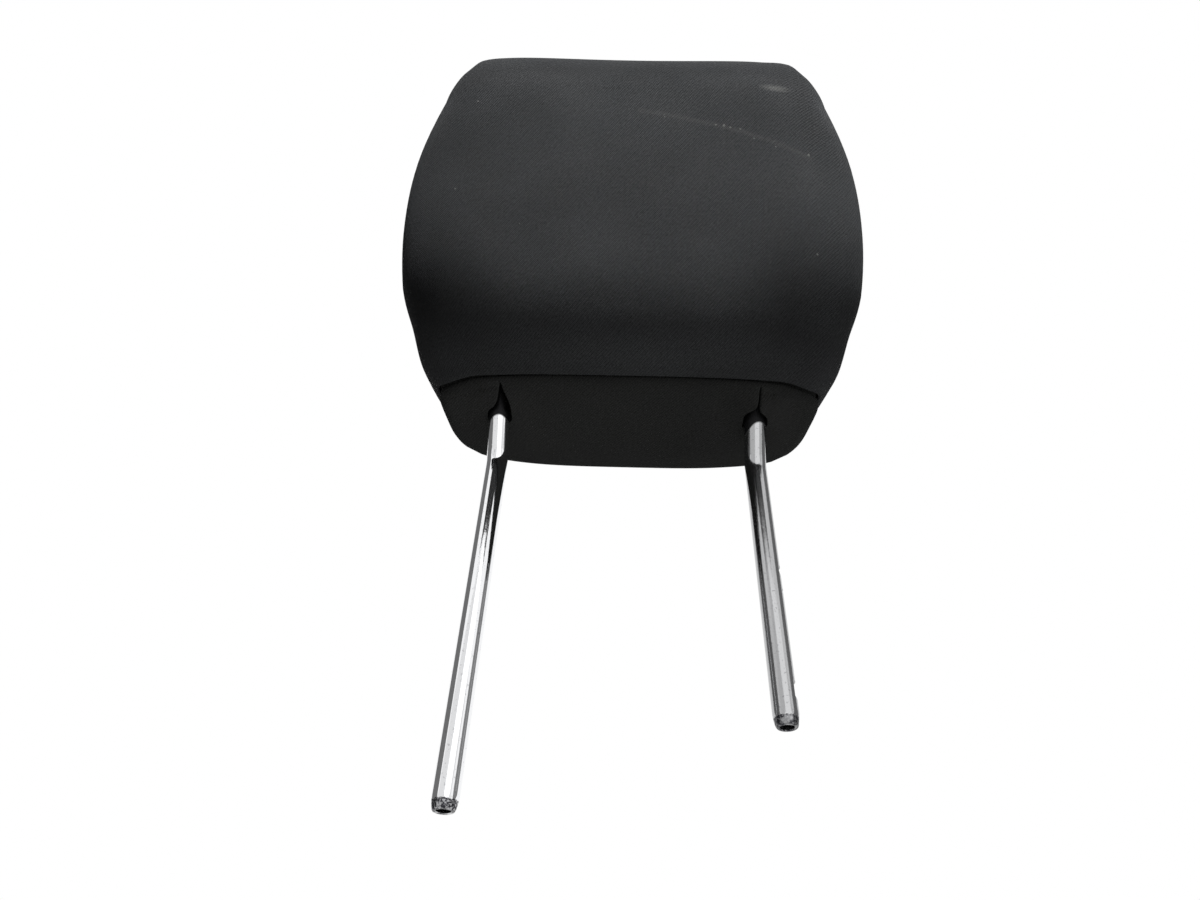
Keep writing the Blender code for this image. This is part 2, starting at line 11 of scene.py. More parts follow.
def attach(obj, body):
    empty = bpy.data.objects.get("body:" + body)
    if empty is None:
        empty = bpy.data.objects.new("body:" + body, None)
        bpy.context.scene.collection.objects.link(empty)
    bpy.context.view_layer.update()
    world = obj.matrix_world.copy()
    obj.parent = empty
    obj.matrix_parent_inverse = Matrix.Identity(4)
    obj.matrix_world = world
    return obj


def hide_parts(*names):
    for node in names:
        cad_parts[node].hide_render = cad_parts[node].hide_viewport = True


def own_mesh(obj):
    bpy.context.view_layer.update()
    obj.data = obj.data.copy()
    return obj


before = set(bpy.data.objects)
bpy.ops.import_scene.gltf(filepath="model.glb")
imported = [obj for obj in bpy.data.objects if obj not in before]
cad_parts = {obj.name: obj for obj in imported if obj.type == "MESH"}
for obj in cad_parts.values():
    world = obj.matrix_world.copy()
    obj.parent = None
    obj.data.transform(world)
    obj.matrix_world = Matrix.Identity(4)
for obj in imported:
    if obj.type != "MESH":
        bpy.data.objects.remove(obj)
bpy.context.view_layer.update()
MM = 0.001

# ------------------------------------------------------------------ dimensions, mm, row frame
TUBE_R, TUBE_WALL, POST_X = 6.0, 2.0, 73.0
BEND_Z, BEND_R, POST_LEAN = 191.3, 20.0, math.radians(31.0)
PIVOT_UP, POST_OVER = 105.0, 5.7
ENDS = {"left": 0.0, "right": 39.8}
TIP_R, TIP_LEN, TIP_BORE = 4.7, 7.5, 3.25
NOTCHES = ((12.0, 21.0, 1.6, 1.2), (67.0, 69.2, 1.0, 0.4), (76.0, 82.5, 1.5, 3.0))
PAD_LEAN = math.radians(28.0)
PANEL_Z = 213.0
STATIONS = np.array((
    (-63.8, 24.0, -92.5, -48.5, 112.0, 3.45),
    (-50.0, 33.5, -71.0, -49.0, 120.0, 3.6),
    (-30.0, 43.5, -42.0, -49.0, 125.3, 3.2),
    (-8.0, 48.4, -14.0, -48.6, 131.0, 3.0),
    (25.0, 49.6, 25.0, -47.6, 133.0, 3.0),
    (60.0, 49.0, 60.0, -46.0, 128.7, 3.1),
    (98.5, 46.8, 98.5, -43.4, 112.0, 4.3),
))
SEAM_ARCH, SEAM_DIP, BACK_NARROW = 11.0, 4.0, 0.095
TOP_SAG, TOP_LIFT = 3.5, 0.7
TOP_RISE, TOP_ROLL, TOP_NARROW, TOP_N = 34.2, 29.1, 26.0, 4.9
EDGE_R = 5.2
SLOT_HALF = 7.4
BACK_SEAM = 0.86            # where the rear panel's side seams run, as a share of the half width
BACK_SEAM_ROW = 6.62        # and its top seam

POST_DIR = np.array((0, -math.sin(POST_LEAN), math.cos(POST_LEAN)))
PIVOT = np.array((0, 0, BEND_Z)) + POST_DIR * PIVOT_UP
UP = np.array((0, -math.sin(PAD_LEAN), math.cos(PAD_LEAN)))
FRONT = np.array((0, -math.cos(PAD_LEAN), -math.sin(PAD_LEAN)))


# ------------------------------------------------------------------ camera
def make_camera():
    pitch, yaw, roll = math.radians(40.97), math.radians(-1.82), math.radians(2.51)
    forward = Vector((math.sin(yaw) * math.cos(pitch), math.cos(yaw) * math.cos(pitch), math.sin(pitch)))
    right = Vector((math.cos(yaw), -math.sin(yaw), 0))
    up = right.cross(forward)
    r = right * math.cos(roll) + up * math.sin(roll)
    u = up * math.cos(roll) - right * math.sin(roll)
    cam = bpy.data.objects.new("camera", bpy.data.cameras.new("camera"))
    bpy.context.scene.collection.objects.link(cam)
    m = Matrix((r, u, -forward)).transposed().to_4x4()
    m.translation = Vector((-3.9, -346.6, -101.6)) * MM
    cam.matrix_world = m
    cam.data.lens, cam.data.sensor_width, cam.data.sensor_fit = 24.0, 36.0, "HORIZONTAL"
    cam.data.clip_start, cam.data.clip_end = 0.01, 100
    bpy.context.scene.camera = cam


make_camera()


# ------------------------------------------------------------------ the cushion's surface
def local(x, t, s):
    x, t, s = np.broadcast_arrays(x, t, s)
    return PIVOT + x[..., None] * np.array((1.0, 0, 0)) + t[..., None] * FRONT + s[..., None] * UP


def spline(values, u):
    n = len(values) - 1
    i = min(int(u), n - 1)
    f = u - i
    p0 = values[i - 1] if i else 2 * values[0] - values[1]
    p3 = values[i + 2] if i + 2 <= n else 2 * values[n] - values[n - 1]
    p1, p2 = values[i], values[i + 1]
    return 0.5 * (2 * p1 + (p2 - p0) * f + (2 * p0 - 5 * p1 + 4 * p2 - p3) * f * f
                  + (3 * p1 - p0 - 3 * p2 + p3) * f ** 3)


def smooth(u):
    u = np.clip(u, 0.0, 1.0)
    return u * u * (3 - 2 * u)


def columns(step):
    """Places round a section, from the middle of the back over the right side, the front and the left side.
    Each is (kind, value, sign): a share of the width on the flat sides, a share of the depth on the round ones."""
    wide = 131.0
    n = int(2 * 0.9 * wide / step)
    flat = [(-0.9 + 1.8 * i / n) for i in range(n + 1)]
    m = max(8, int(1.2 * 50 / step) + 4)
    side = [0.60 - 1.2 * (i + 0.5) / m for i in range(m)]
    edge = BACK_SEAM
    near = [edge + d / wide for d in (-9, -6, -4.2, -2.8, -1.8, -1.1, -0.6, -0.25, 0.0, 0.25, 0.6, 1.1, 1.8, 2.8)]
    back = sorted([a for a in flat if abs(abs(a) - edge) > 0.085 and abs(a) < 0.93] + [a for a in near if a < 0.9]
                  + [-a for a in near if a < 0.9]) if step < 4 else flat
    out = [("x", a, -1) for a in back if a >= 0]
    out += [("k", -v, 1) for v in side]
    out += [("x", a, 1) for a in flat[::-1]]
    out += [("k", v, -1) for v in side]
    out += [("x", a, -1) for a in back if a < 0]
    return out


def shares(cols, n):
    """(across, k) of the columns on a section of squareness n."""
    across, k = np.zeros(len(cols)), np.zeros(len(cols))
    for i, (kind, v, sign) in enumerate(cols):
        if kind == "x":
            across[i], k[i] = v, sign * (1 - abs(v) ** n) ** (1 / n)
        else:
            across[i], k[i] = sign * (1 - abs(v) ** n) ** (1 / n), v
    return across, k


def ring(cols, sf, tf, sb, tb, w, n, arch=0.0, dip=0.0, low=0.0, high=0.0):
    across, k = shares(cols, n)
    px = across * w * (1 - BACK_NARROW * low * (1 - k) / 2)
    t = (tf + tb) / 2 + k * (tf - tb) / 2
    s = (sf + sb) / 2 + k * (sf - sb) / 2 + arch * (1 - k * k) * across ** 2
    s = s - dip * smooth((np.abs(across) - 0.74) / 0.2) + high * (TOP_SAG * (across ** 2 - 0.5) - TOP_LIFT * across)
    return local(px, t, s)


def main_row(cols, v):
    """The face and sides for v in 0..6, the rounded top for 6..7, and its middle for 7..8."""
    if v <= 6:
        low = max(0.0, 1 - v / 3)
        return ring(cols, *[spline(STATIONS[:, c], v) for c in range(6)], arch=SEAM_ARCH * low ** 2,
                    dip=SEAM_DIP * low ** 2, low=low, high=float(smooth(v / 3 - 1)))
    sf, tf, sb, tb, w, n = STATIONS[-1]
    drop = (STATIONS[-2][4] - w) / (sf - STATIONS[-2][0])
    a = math.pi / 2 * min(v - 6, 1)
    s = sf + TOP_RISE * math.sin(a)
    roll = TOP_ROLL * (1 - math.cos(a))
    wide = w - drop * TOP_RISE * math.sin(a) * 0.55 - (TOP_NARROW - drop * TOP_RISE * 0.55) * (1 - math.cos(a))
    e = n + (TOP_N - n) * min(v - 6, 1)
    f, b = tf - roll, tb + roll
    k, high = 1.0, 1.0
    if v > 7:
        k = 8 - v
        s += 0.7 * (1 - k * k)
        high = 1 - 0.5 * (1 - k)
        wide *= 1 - 0.5 * (1 - k)
    mid, half = (f + b) / 2, (f - b) / 2 * k
    return ring(cols, s, mid + half, s, mid - half, wide, e, high=high)


def panel_s(t):
    return (PANEL_Z - PIVOT[2] + math.sin(PAD_LEAN) * t) / math.cos(PAD_LEAN)


def panel_row(cols, g):
    """The bottom panel's rounding: g = 0 where it turns flat, 90 at the seam, beyond 90 inside the cushion."""
    sf, tf, sb, tb, w, n = STATIONS[0]
    flat_f, flat_b, flat_w = tf - EDGE_R - 1.5, tb + EDGE_R + 1.5, w - EDGE_R - 3
    a = math.radians(min(g, 90.0))
    f = flat_f + (tf - flat_f) * math.sin(a)
    b = flat_b + (tb - flat_b) * math.sin(a)
    up = 1 - math.cos(a)
    return ring(cols, panel_s(f) + (sf - panel_s(tf)) * up, f, panel_s(b) + (sb - panel_s(tb)) * up, b,
                flat_w + (w - flat_w) * math.sin(a), n, SEAM_ARCH * up, SEAM_DIP * up, low=1)


def normals_of(rows):
    """Outward unit normals of a stack of closed rows."""
    across = np.roll(rows, -1, 1) - np.roll(rows, 1, 1)
    along = np.gradient(rows, axis=0)
    n = np.cross(across, along)
    size = np.linalg.norm(n, axis=-1, keepdims=True)
    n = n / np.maximum(size, 1e-9)
    centre = rows.mean((0, 1))
    i = len(rows) // 2
    if ((rows[i] - centre) * n[i]).sum() < 0:
        n = -n
    return n


def object_from(name, verts, faces, uvs=None, smooth_shade=True):
    mesh = bpy.data.meshes.new(name)
    mesh.from_pydata([tuple(v) for v in np.asarray(verts) * MM], [], faces)
    if uvs is not None:
        layer = mesh.uv_layers.new(name="cloth")
        layer.data.foreach_set("uv", np.asarray(uvs, np.float32).ravel())
    mesh.update()
    if smooth_shade:
        mesh.shade_smooth()
    o = bpy.data.objects.new(name, mesh)
    bpy.context.scene.collection.objects.link(o)
    return o


def volume_of(mesh):
    bm = bmesh.new()
    bm.from_mesh(mesh)
    v = bm.calc_volume(signed=True)
    bm.free()
    return v


def flip_if_inside_out(o):
    if volume_of(o.data) < 0:
        o.data.flip_normals()


# ------------------------------------------------------------------ cloth simulation of the main cover
def simulate():
    """Blows the tight cover up a little over the foam. Returns row positions v and the outward swelling in mm on a
    coarse grid of (row, column), with its columns."""
    cols = columns(6.0)
    vs = np.concatenate((np.linspace(0.0, 6.0, 33), np.linspace(6.0, 7.0, 10)[1:], np.linspace(7.0, 7.95, 4)[1:]))
    rows = np.array([main_row(cols, v) for v in vs])
    nrm = normals_of(rows)
    start = rows - nrm * 1.6
    nr, nc = rows.shape[:2]
    faces = [(r * nc + c, r * nc + (c + 1) % nc, (r + 1) * nc + (c + 1) % nc, (r + 1) * nc + c)
             for r in range(nr - 1) for c in range(nc)]
    faces.append(tuple(range((nr - 1) * nc, nr * nc)))
    o = object_from("cloth_start", start.reshape(-1, 3), faces)
    bm = bmesh.new()
    bm.from_mesh(o.data)
    bmesh.ops.recalc_face_normals(bm, faces=bm.faces)
    bm.to_mesh(o.data)
    bm.free()
    across = np.array([shares(cols, spline(STATIONS[:, 5], min(v, 6.0)))[0] for v in vs])
    k = np.array([shares(cols, spline(STATIONS[:, 5], min(v, 6.0)))[1] for v in vs])
    sewn = (np.arange(nr)[:, None] == 0) | ((k < -0.3) & (np.abs(np.abs(across) - BACK_SEAM) < 0.026) & (vs[:, None] < BACK_SEAM_ROW + 0.05)) \
        | ((k < -0.3) & (np.abs(across) < BACK_SEAM) & (np.abs(vs[:, None] - BACK_SEAM_ROW) < 0.056))
    group = o.vertex_groups.new(name="sewn")
    group.add([int(i) for i in np.nonzero(sewn.ravel())[0]], 1.0, "REPLACE")
    m = o.modifiers.new("cloth", "CLOTH")
    st = m.settings
    st.quality = 5
    st.mass = 0.3
    st.tension_stiffness = st.compression_stiffness = 18
    st.shear_stiffness = 8
    st.bending_stiffness = 0.6
    st.use_pressure = True
    st.uniform_pressure_force = 4.0
    st.effector_weights.gravity = 0.0
    st.vertex_group_mass = "sewn"
    m.collision_settings.use_self_collision = False
    m.point_cache.frame_start, m.point_cache.frame_end = 1, 20
    scene = bpy.context.scene
    scene.frame_start, scene.frame_end = 1, 20
    for f in range(1, 21):
        scene.frame_set(f)
    got = np.array([v.co[:] for v in o.evaluated_get(bpy.context.evaluated_depsgraph_get()).data.vertices])
    got = got.reshape(nr, nc, 3) / MM
    swell = ((got - rows) * nrm).sum(-1)
    print("cloth: swelling %.2f to %.2f mm, mean %.2f" % (swell.min(), swell.max(), swell.mean()))
    swell = np.where(sewn, 0.0, np.clip(swell - np.median(swell[2:]) + 0.35, -0.3, 1.6))
    scene.frame_set(1)
    mesh = o.data
    bpy.data.objects.remove(o, do_unlink=True)
    bpy.data.meshes.remove(mesh)
    # keep the sewn rows on the seams and ease a little roughness out
    for _ in range(2):
        s = (np.roll(swell, 1, 1) + np.roll(swell, -1, 1) + 2 * swell) / 4
        t = s.copy()
        t[1:-1] = (s[:-2] + s[2:] + 2 * s[1:-1]) / 4
        swell = np.where(sewn, swell, t)
    return cols, vs, swell


def position_along(cols, n=3.1):
    """A number that grows with the column's place round the section, for interpolation."""
    across, k = shares(cols, n)
    return np.unwrap(np.arctan2(k, across))


SWELL = simulate()


def swelling(cols, v):
    """Outward swelling of the finished cover at the columns of row v, mm."""
    if SWELL is None:
        return np.zeros(len(cols))
    c0, v0, s0 = SWELL
    p0, p = position_along(c0), position_along(cols)
    j = min(max(np.searchsorted(v0, v) - 1, 0), len(v0) - 2)
    f = min(max((v - v0[j]) / (v0[j + 1] - v0[j]), 0.0), 1.0)
    line = s0[j] * (1 - f) + s0[j + 1] * f
    ext_p = np.concatenate((p0 - 2 * math.pi, p0, p0 + 2 * math.pi))
    return np.interp(p, ext_p, np.tile(line, 3))


# ------------------------------------------------------------------ main cover
ROLL = ((12.0, 0.0), (3.4, 0.2), (-5.0, 0.65), (-13.0, 1.2), (-21.0, 1.85), (-28.5, 2.6), (-35.7, 3.5), (-42.8, 4.1),
        (-49.8, 3.9), (-56.7, 2.3), (-62.0, 0.4), (-63.8, 0.0))       # height s, how far the padding rolls out, mm


def bulge(v):
    """The padding rolls out over the bottom seam in front; eased over 6 mm so that it has no kinks."""
    s = spline(STATIONS[:, 0], min(v, 6.0))
    at, out = np.array(ROLL)[::-1].T
    near = s + np.linspace(-4.5, 4.5, 13)
    weight = np.exp(-np.linspace(-1.6, 1.6, 13) ** 2)
    return float((np.interp(near, at, out) * weight).sum() / weight.sum()) * float(smooth((s + 64.5) / 4.0))


def rounded_corner(a, b, r):
    """Signed distance to the corner where a = 0 meets b = 0, rounded by r; negative inside."""
    qa, qb = a + r, b + r
    return np.minimum(np.maximum(qa, qb), 0) + np.hypot(np.maximum(qa, 0), np.maximum(qb, 0)) - r


def build_main_cover():
    step = 3.0
    cols = columns(3.0)
    hem_v = 0.12                                      # 1.9 mm above the seam
    vs = [hem_v, 0.15, 0.20, 0.26, 0.34, 0.45, 0.58]
    while vs[-1] < 5.9:
        vs.append(vs[-1] + 0.15 * step / 3)
    vs = [v for v in vs if v < 5.97] + [6.0]
    top = sorted(set(np.round(np.concatenate((np.linspace(6.05, 7.0, 18), BACK_SEAM_ROW + np.array(
        (-0.12, -0.07, -0.04, -0.02, -0.009, 0.0, 0.009, 0.02, 0.04, 0.07, 0.12)))), 4)))
    vs = np.array(vs + top + [7.15, 7.3, 7.45, 7.6, 7.75, 7.88, 7.96])
    rows = np.array([main_row(cols, v) for v in vs])
    nrm = normals_of(rows)
    seam0 = main_row(cols, 0.0)

    swell = np.array([swelling(cols, v) for v in vs])
    ns = [spline(STATIONS[:, 5], min(v, 6.0)) for v in vs]
    ak = [shares(cols, n) for n in ns]
    across, k = np.array([a for a, _ in ak]), np.array([b for _, b in ak])
    w = np.array([spline(STATIONS[:, 4], min(v, 6.0)) for v in vs])[:, None]
    # rear panel seam: a groove with the cloth swelling on both sides of it
    dside = (np.abs(across) - BACK_SEAM) * w
    dtop = (vs[:, None] - BACK_SEAM_ROW) * 52.0
    sdf = np.where(k < 0.1, rounded_corner(dside, dtop, 2.0), 50.0)
    groove = -1.25 * np.exp(-(sdf / 0.75) ** 2) + 0.45 * np.exp(-((np.abs(sdf) - 4.0) / 3.0) ** 2)
    # the cloth stands proud just above the bottom seam and is drawn in slightly further up
    gap = vs[:, None] * 16.5
    lip = (0.75 + 0.75 * smooth((k - 0.5) / 0.4)) * np.exp(-((gap - 3.0) / 3.5) ** 2)
    rng = np.random.default_rng(5)
    place = position_along(cols)
    ripple = sum(rng.uniform(0.02, 0.06) * np.sin(place * q + rng.uniform(0, 6.3)) for q in (9, 17, 29, 43))
    pull = ripple[None, :] * np.exp(-gap / 9.0)
    roll = np.array([bulge(v) for v in vs])[:, None] * smooth((k - 0.4) / 0.5) * (1 - 0.75 * smooth((np.abs(across) - 0.3) / 0.5))
    # stuffing pushes the sides, the upper corners and the top out a little, the right side most
    corner = np.exp(-((vs[:, None] - 5.6) / 0.6) ** 2)
    full = smooth((across - 0.75) / 0.2) * (1.25 + 0.9 * corner) + smooth((-across - 0.75) / 0.2) * (0.45 + 0.8 * corner)
    full = full * (0.3 + 0.7 * smooth((vs[:, None] - 0.05) / 0.8)) + 1.1 * smooth((vs[:, None] - 6.2) / 0.4)
    out = rows + nrm * (swell + groove + lip + pull + roll + full)[..., None]

    # hem: a half round turn into the cushion, then a short run up inside
    base, n0 = out[0], nrm[0]
    tang = out[1] - out[0]
    tang = tang - (tang * n0).sum(-1, keepdims=True) * n0
    tang /= np.linalg.norm(tang, axis=-1, keepdims=True)
    r = 1.15
    hem = []
    for a in (24, 48, 72, 96, 120, 144, 168):
        a = math.radians(a)
        hem.append(base - tang * r * math.sin(a) * 1.25 - n0 * r * (1 - math.cos(a)))
    # inner skin, from the hem up to the middle of the top
    pick = list(range(1, len(vs), 3))
    if pick[-1] != len(vs) - 1:
        pick.append(len(vs) - 1)
    inner = [out[i] - nrm[i] * 2.3 for i in pick]
    stackrows = inner[::-1] + hem[::-1] + list(out)
    stackrows = np.array(stackrows)
    nr, nc = stackrows.shape[:2]
    # cloth coordinates in metres: round the section from the middle of the front, and up
    mid = int(np.argmin(np.abs(across[20]) + (k[20] < 0) * 9))
    full = np.array(stackrows)
    seg = np.linalg.norm(np.roll(full, -1, 1) - full, axis=-1)
    run = np.concatenate((np.zeros((nr, 1)), np.cumsum(seg, 1)), 1)
    run = run - run[:, mid:mid + 1]
    ref = run[nr // 2]
    rise = np.concatenate((np.zeros((1, nc)), np.cumsum(np.linalg.norm(np.diff(full, axis=0), axis=-1), 0)))
    base_row = len(inner) + len(hem)
    rise = rise - rise[base_row:base_row + 1]
    faces, uvs = [], []
    own_k = np.concatenate((np.repeat(k[:1], base_row, 0), k))
    own_sdf = np.concatenate((np.repeat(sdf[:1], base_row, 0), sdf))
    xs = full[..., 0]
    for a in range(nr - 1):
        for c in range(nc):
            d = (c + 1) % nc
            faces.append((a * nc + c, a * nc + d, (a + 1) * nc + d, (a + 1) * nc + c))
            inside = own_sdf[a, c] + own_sdf[a, d] + own_sdf[a + 1, c] + own_sdf[a + 1, d] < 0 and own_k[a, c] < 0
            for row, col, wrapped in ((a, c, c), (a, d, c + 1), (a + 1, d, c + 1), (a + 1, c, c)):
                if inside:
                    uvs.append((xs[row, col] * MM + 2.0, rise[row, col] * MM))
                else:
                    uvs.append((run[row, wrapped] * MM, rise[row, col] * MM))
    # close the middle of the top, outside and in, with strips from front to back
    for row, turn in ((nr - 1, False), (0, True)):
        first = row * nc
        front = [first + i for i in range(nc) if own_k[min(row, nr - 1) if row else 0, i] >= 0]
        ids = list(range(first, first + nc))
        centre = full[row].mean(0)
        order = sorted(ids, key=lambda i: full[row][i - first][0])
        half = [i for i in ids]
        # walk the ring from its leftmost to its rightmost point on both sides at once
        left = half.index(order[0])
        fwd = [half[(left + i) % nc] for i in range(nc)]
        i, j = 1, nc - 1
        prev_a, prev_b = fwd[0], fwd[0]
        while i <= j:
            if i == j:
                f = [prev_a, fwd[i], prev_b]
                i += 1
            else:
                xa, xb = full[row][fwd[i] - first][0], full[row][fwd[j] - first][0]
                if xa <= xb:
                    f = [prev_a, fwd[i], prev_b]
                    prev_a = fwd[i]
                    i += 1
                else:
                    f = [prev_a, fwd[j], prev_b]
                    prev_b = fwd[j]
                    j -= 1
            if len(set(f)) == 3:
                faces.append(tuple(f))
                for q in f:
                    p = full[row][q - first]
                    uvs.append((p[0] * MM, 0.26 + (p - centre)[1] * MM))
    verts = full.reshape(-1, 3)
    o = object_from("cover_main", verts, faces, uvs)
    bm = bmesh.new()
    bm.from_mesh(o.data)
    bmesh.ops.recalc_face_normals(bm, faces=bm.faces)
    bm.to_mesh(o.data)
    bm.free()
    flip_if_inside_out(o)
    return o


# ------------------------------------------------------------------ bottom panel with its post slots
def slot_frame(side):
    """Axis of a post where it goes through the panel: x, y in mm."""
    return side * POST_X, -(PANEL_Z - BEND_Z) * math.tan(POST_LEAN)


HANG = {-1: 2.6, 1: 3.6}    # how far the cloth hangs down round each post, mm
LEAF = {                    # forward of the post's axis, then the outer and the inner edge, inner side positive
    -1: ((0.0, -6.55, 7.3), (3.0, -6.35, 7.5), (5.0, -5.7, 7.4), (7.0, -4.2, 7.3), (8.3, -2.6, 7.2), (10.5, -1.3, 7.0),
         (14.0, 0.2, 6.2), (18.0, 1.1, 5.0), (21.0, 1.7, 3.9), (23.5, 2.2, 3.1), (25.6, 2.6, 2.6)),
    1: ((0.0, -6.6, 7.5), (3.0, -6.35, 7.55), (5.0, -5.7, 7.5), (7.0, -4.2, 7.1), (8.3, -2.8, 6.2), (10.0, -1.5, 4.4),
        (12.0, -0.6, 2.2), (14.0, -0.25, 0.8), (18.0, -0.1, 0.5), (23.0, 0.05, 0.55), (26.4, 0.3, 0.3)),
}


def leaf_edges(side, y):
    """x of the opening's outer and inner edge at y, mm: close round the back and the outside of the tube, open
    towards the middle of the cushion, and running forward to a slit."""
    cx, cy = slot_frame(side)
    inner = -side
    keys = np.array(LEAF[side])
    d = cy - y
    if d <= 0:
        share = math.sqrt(max(0.0, 1 - (d / 7.9) ** 2))
        return cx + inner * keys[0, 1] * share, cx + inner * keys[0, 2] * share
    around = np.clip(d + np.linspace(-1.2, 1.2, 7), 0, None)
    return (cx + inner * np.interp(around, keys[:, 0], keys[:, 1]).mean(),
            cx + inner * np.interp(around, keys[:, 0], keys[:, 2]).mean())


ROOM_BACK, ROOM_FORE = 0.9, {-1: 19.5, 1: 19.5}    # centres of the room's round ends, behind and before the axis


def slot_room(side, steps=20):
    """The outline of the room that the post needs over the whole tilt."""
    cx, cy = slot_frame(side)
    r = SLOT_HALF
    pts = []
    for i in range(2 * steps):
        g = math.pi * (i + 0.5) / steps
        y0 = cy + ROOM_BACK if i < steps else cy - ROOM_FORE[side]
        pts.append((cx + r * math.cos(g), y0 + r * math.sin(g)))
    return np.array(pts)


def inside(poly, p):
    x, y = poly[:, 0], poly[:, 1]
    x2, y2 = np.roll(x, -1), np.roll(y, -1)
    hit = np.zeros(len(p), bool)
    for a, b, c, d in zip(x, y, x2, y2):
        cond = (b > p[:, 1]) != (d > p[:, 1])
        with np.errstate(divide="ignore", invalid="ignore"):
            hit ^= cond & (p[:, 0] < (c - a) * (p[:, 1] - b) / (d - b + 1e-30) + a)
    return hit


def distance(poly, p):
    best = np.full(len(p), 1e9)
    for a, b in zip(poly, np.roll(poly, -1, 0)):
        e = b - a
        t = np.clip(((p - a) @ e) / max(e @ e, 1e-12), 0, 1)
        best = np.minimum(best, np.linalg.norm(p - a - t[:, None] * e, axis=1))
    return best


def hang(side, p, d):
    """How far the panel's cloth hangs below its level at points p, d away from the room of the post."""
    cx, cy = slot_frame(side)
    y = p[:, 1] - cy
    return HANG[side] * np.exp(-(d / 6.5) ** 2) * smooth((6.5 - y) / 9.0) * smooth((y + 27.0) / 13.0)


def panel_height(p, rim, loops):
    """Height of the flat part of the panel at points p."""
    z = np.full(len(p), PANEL_Z)
    for side, loop in ((-1, loops[0]), (1, loops[1])):
        z -= hang(side, p, np.where(inside(loop, p), 0.0, distance(loop, p)))
    # the cloth isn't drawn quite flat
    return z - 0.8 * smooth(distance(rim, p) / 14.0) * (0.6 + 0.4 * np.sin(p[:, 0] / 37.0 + 0.6))


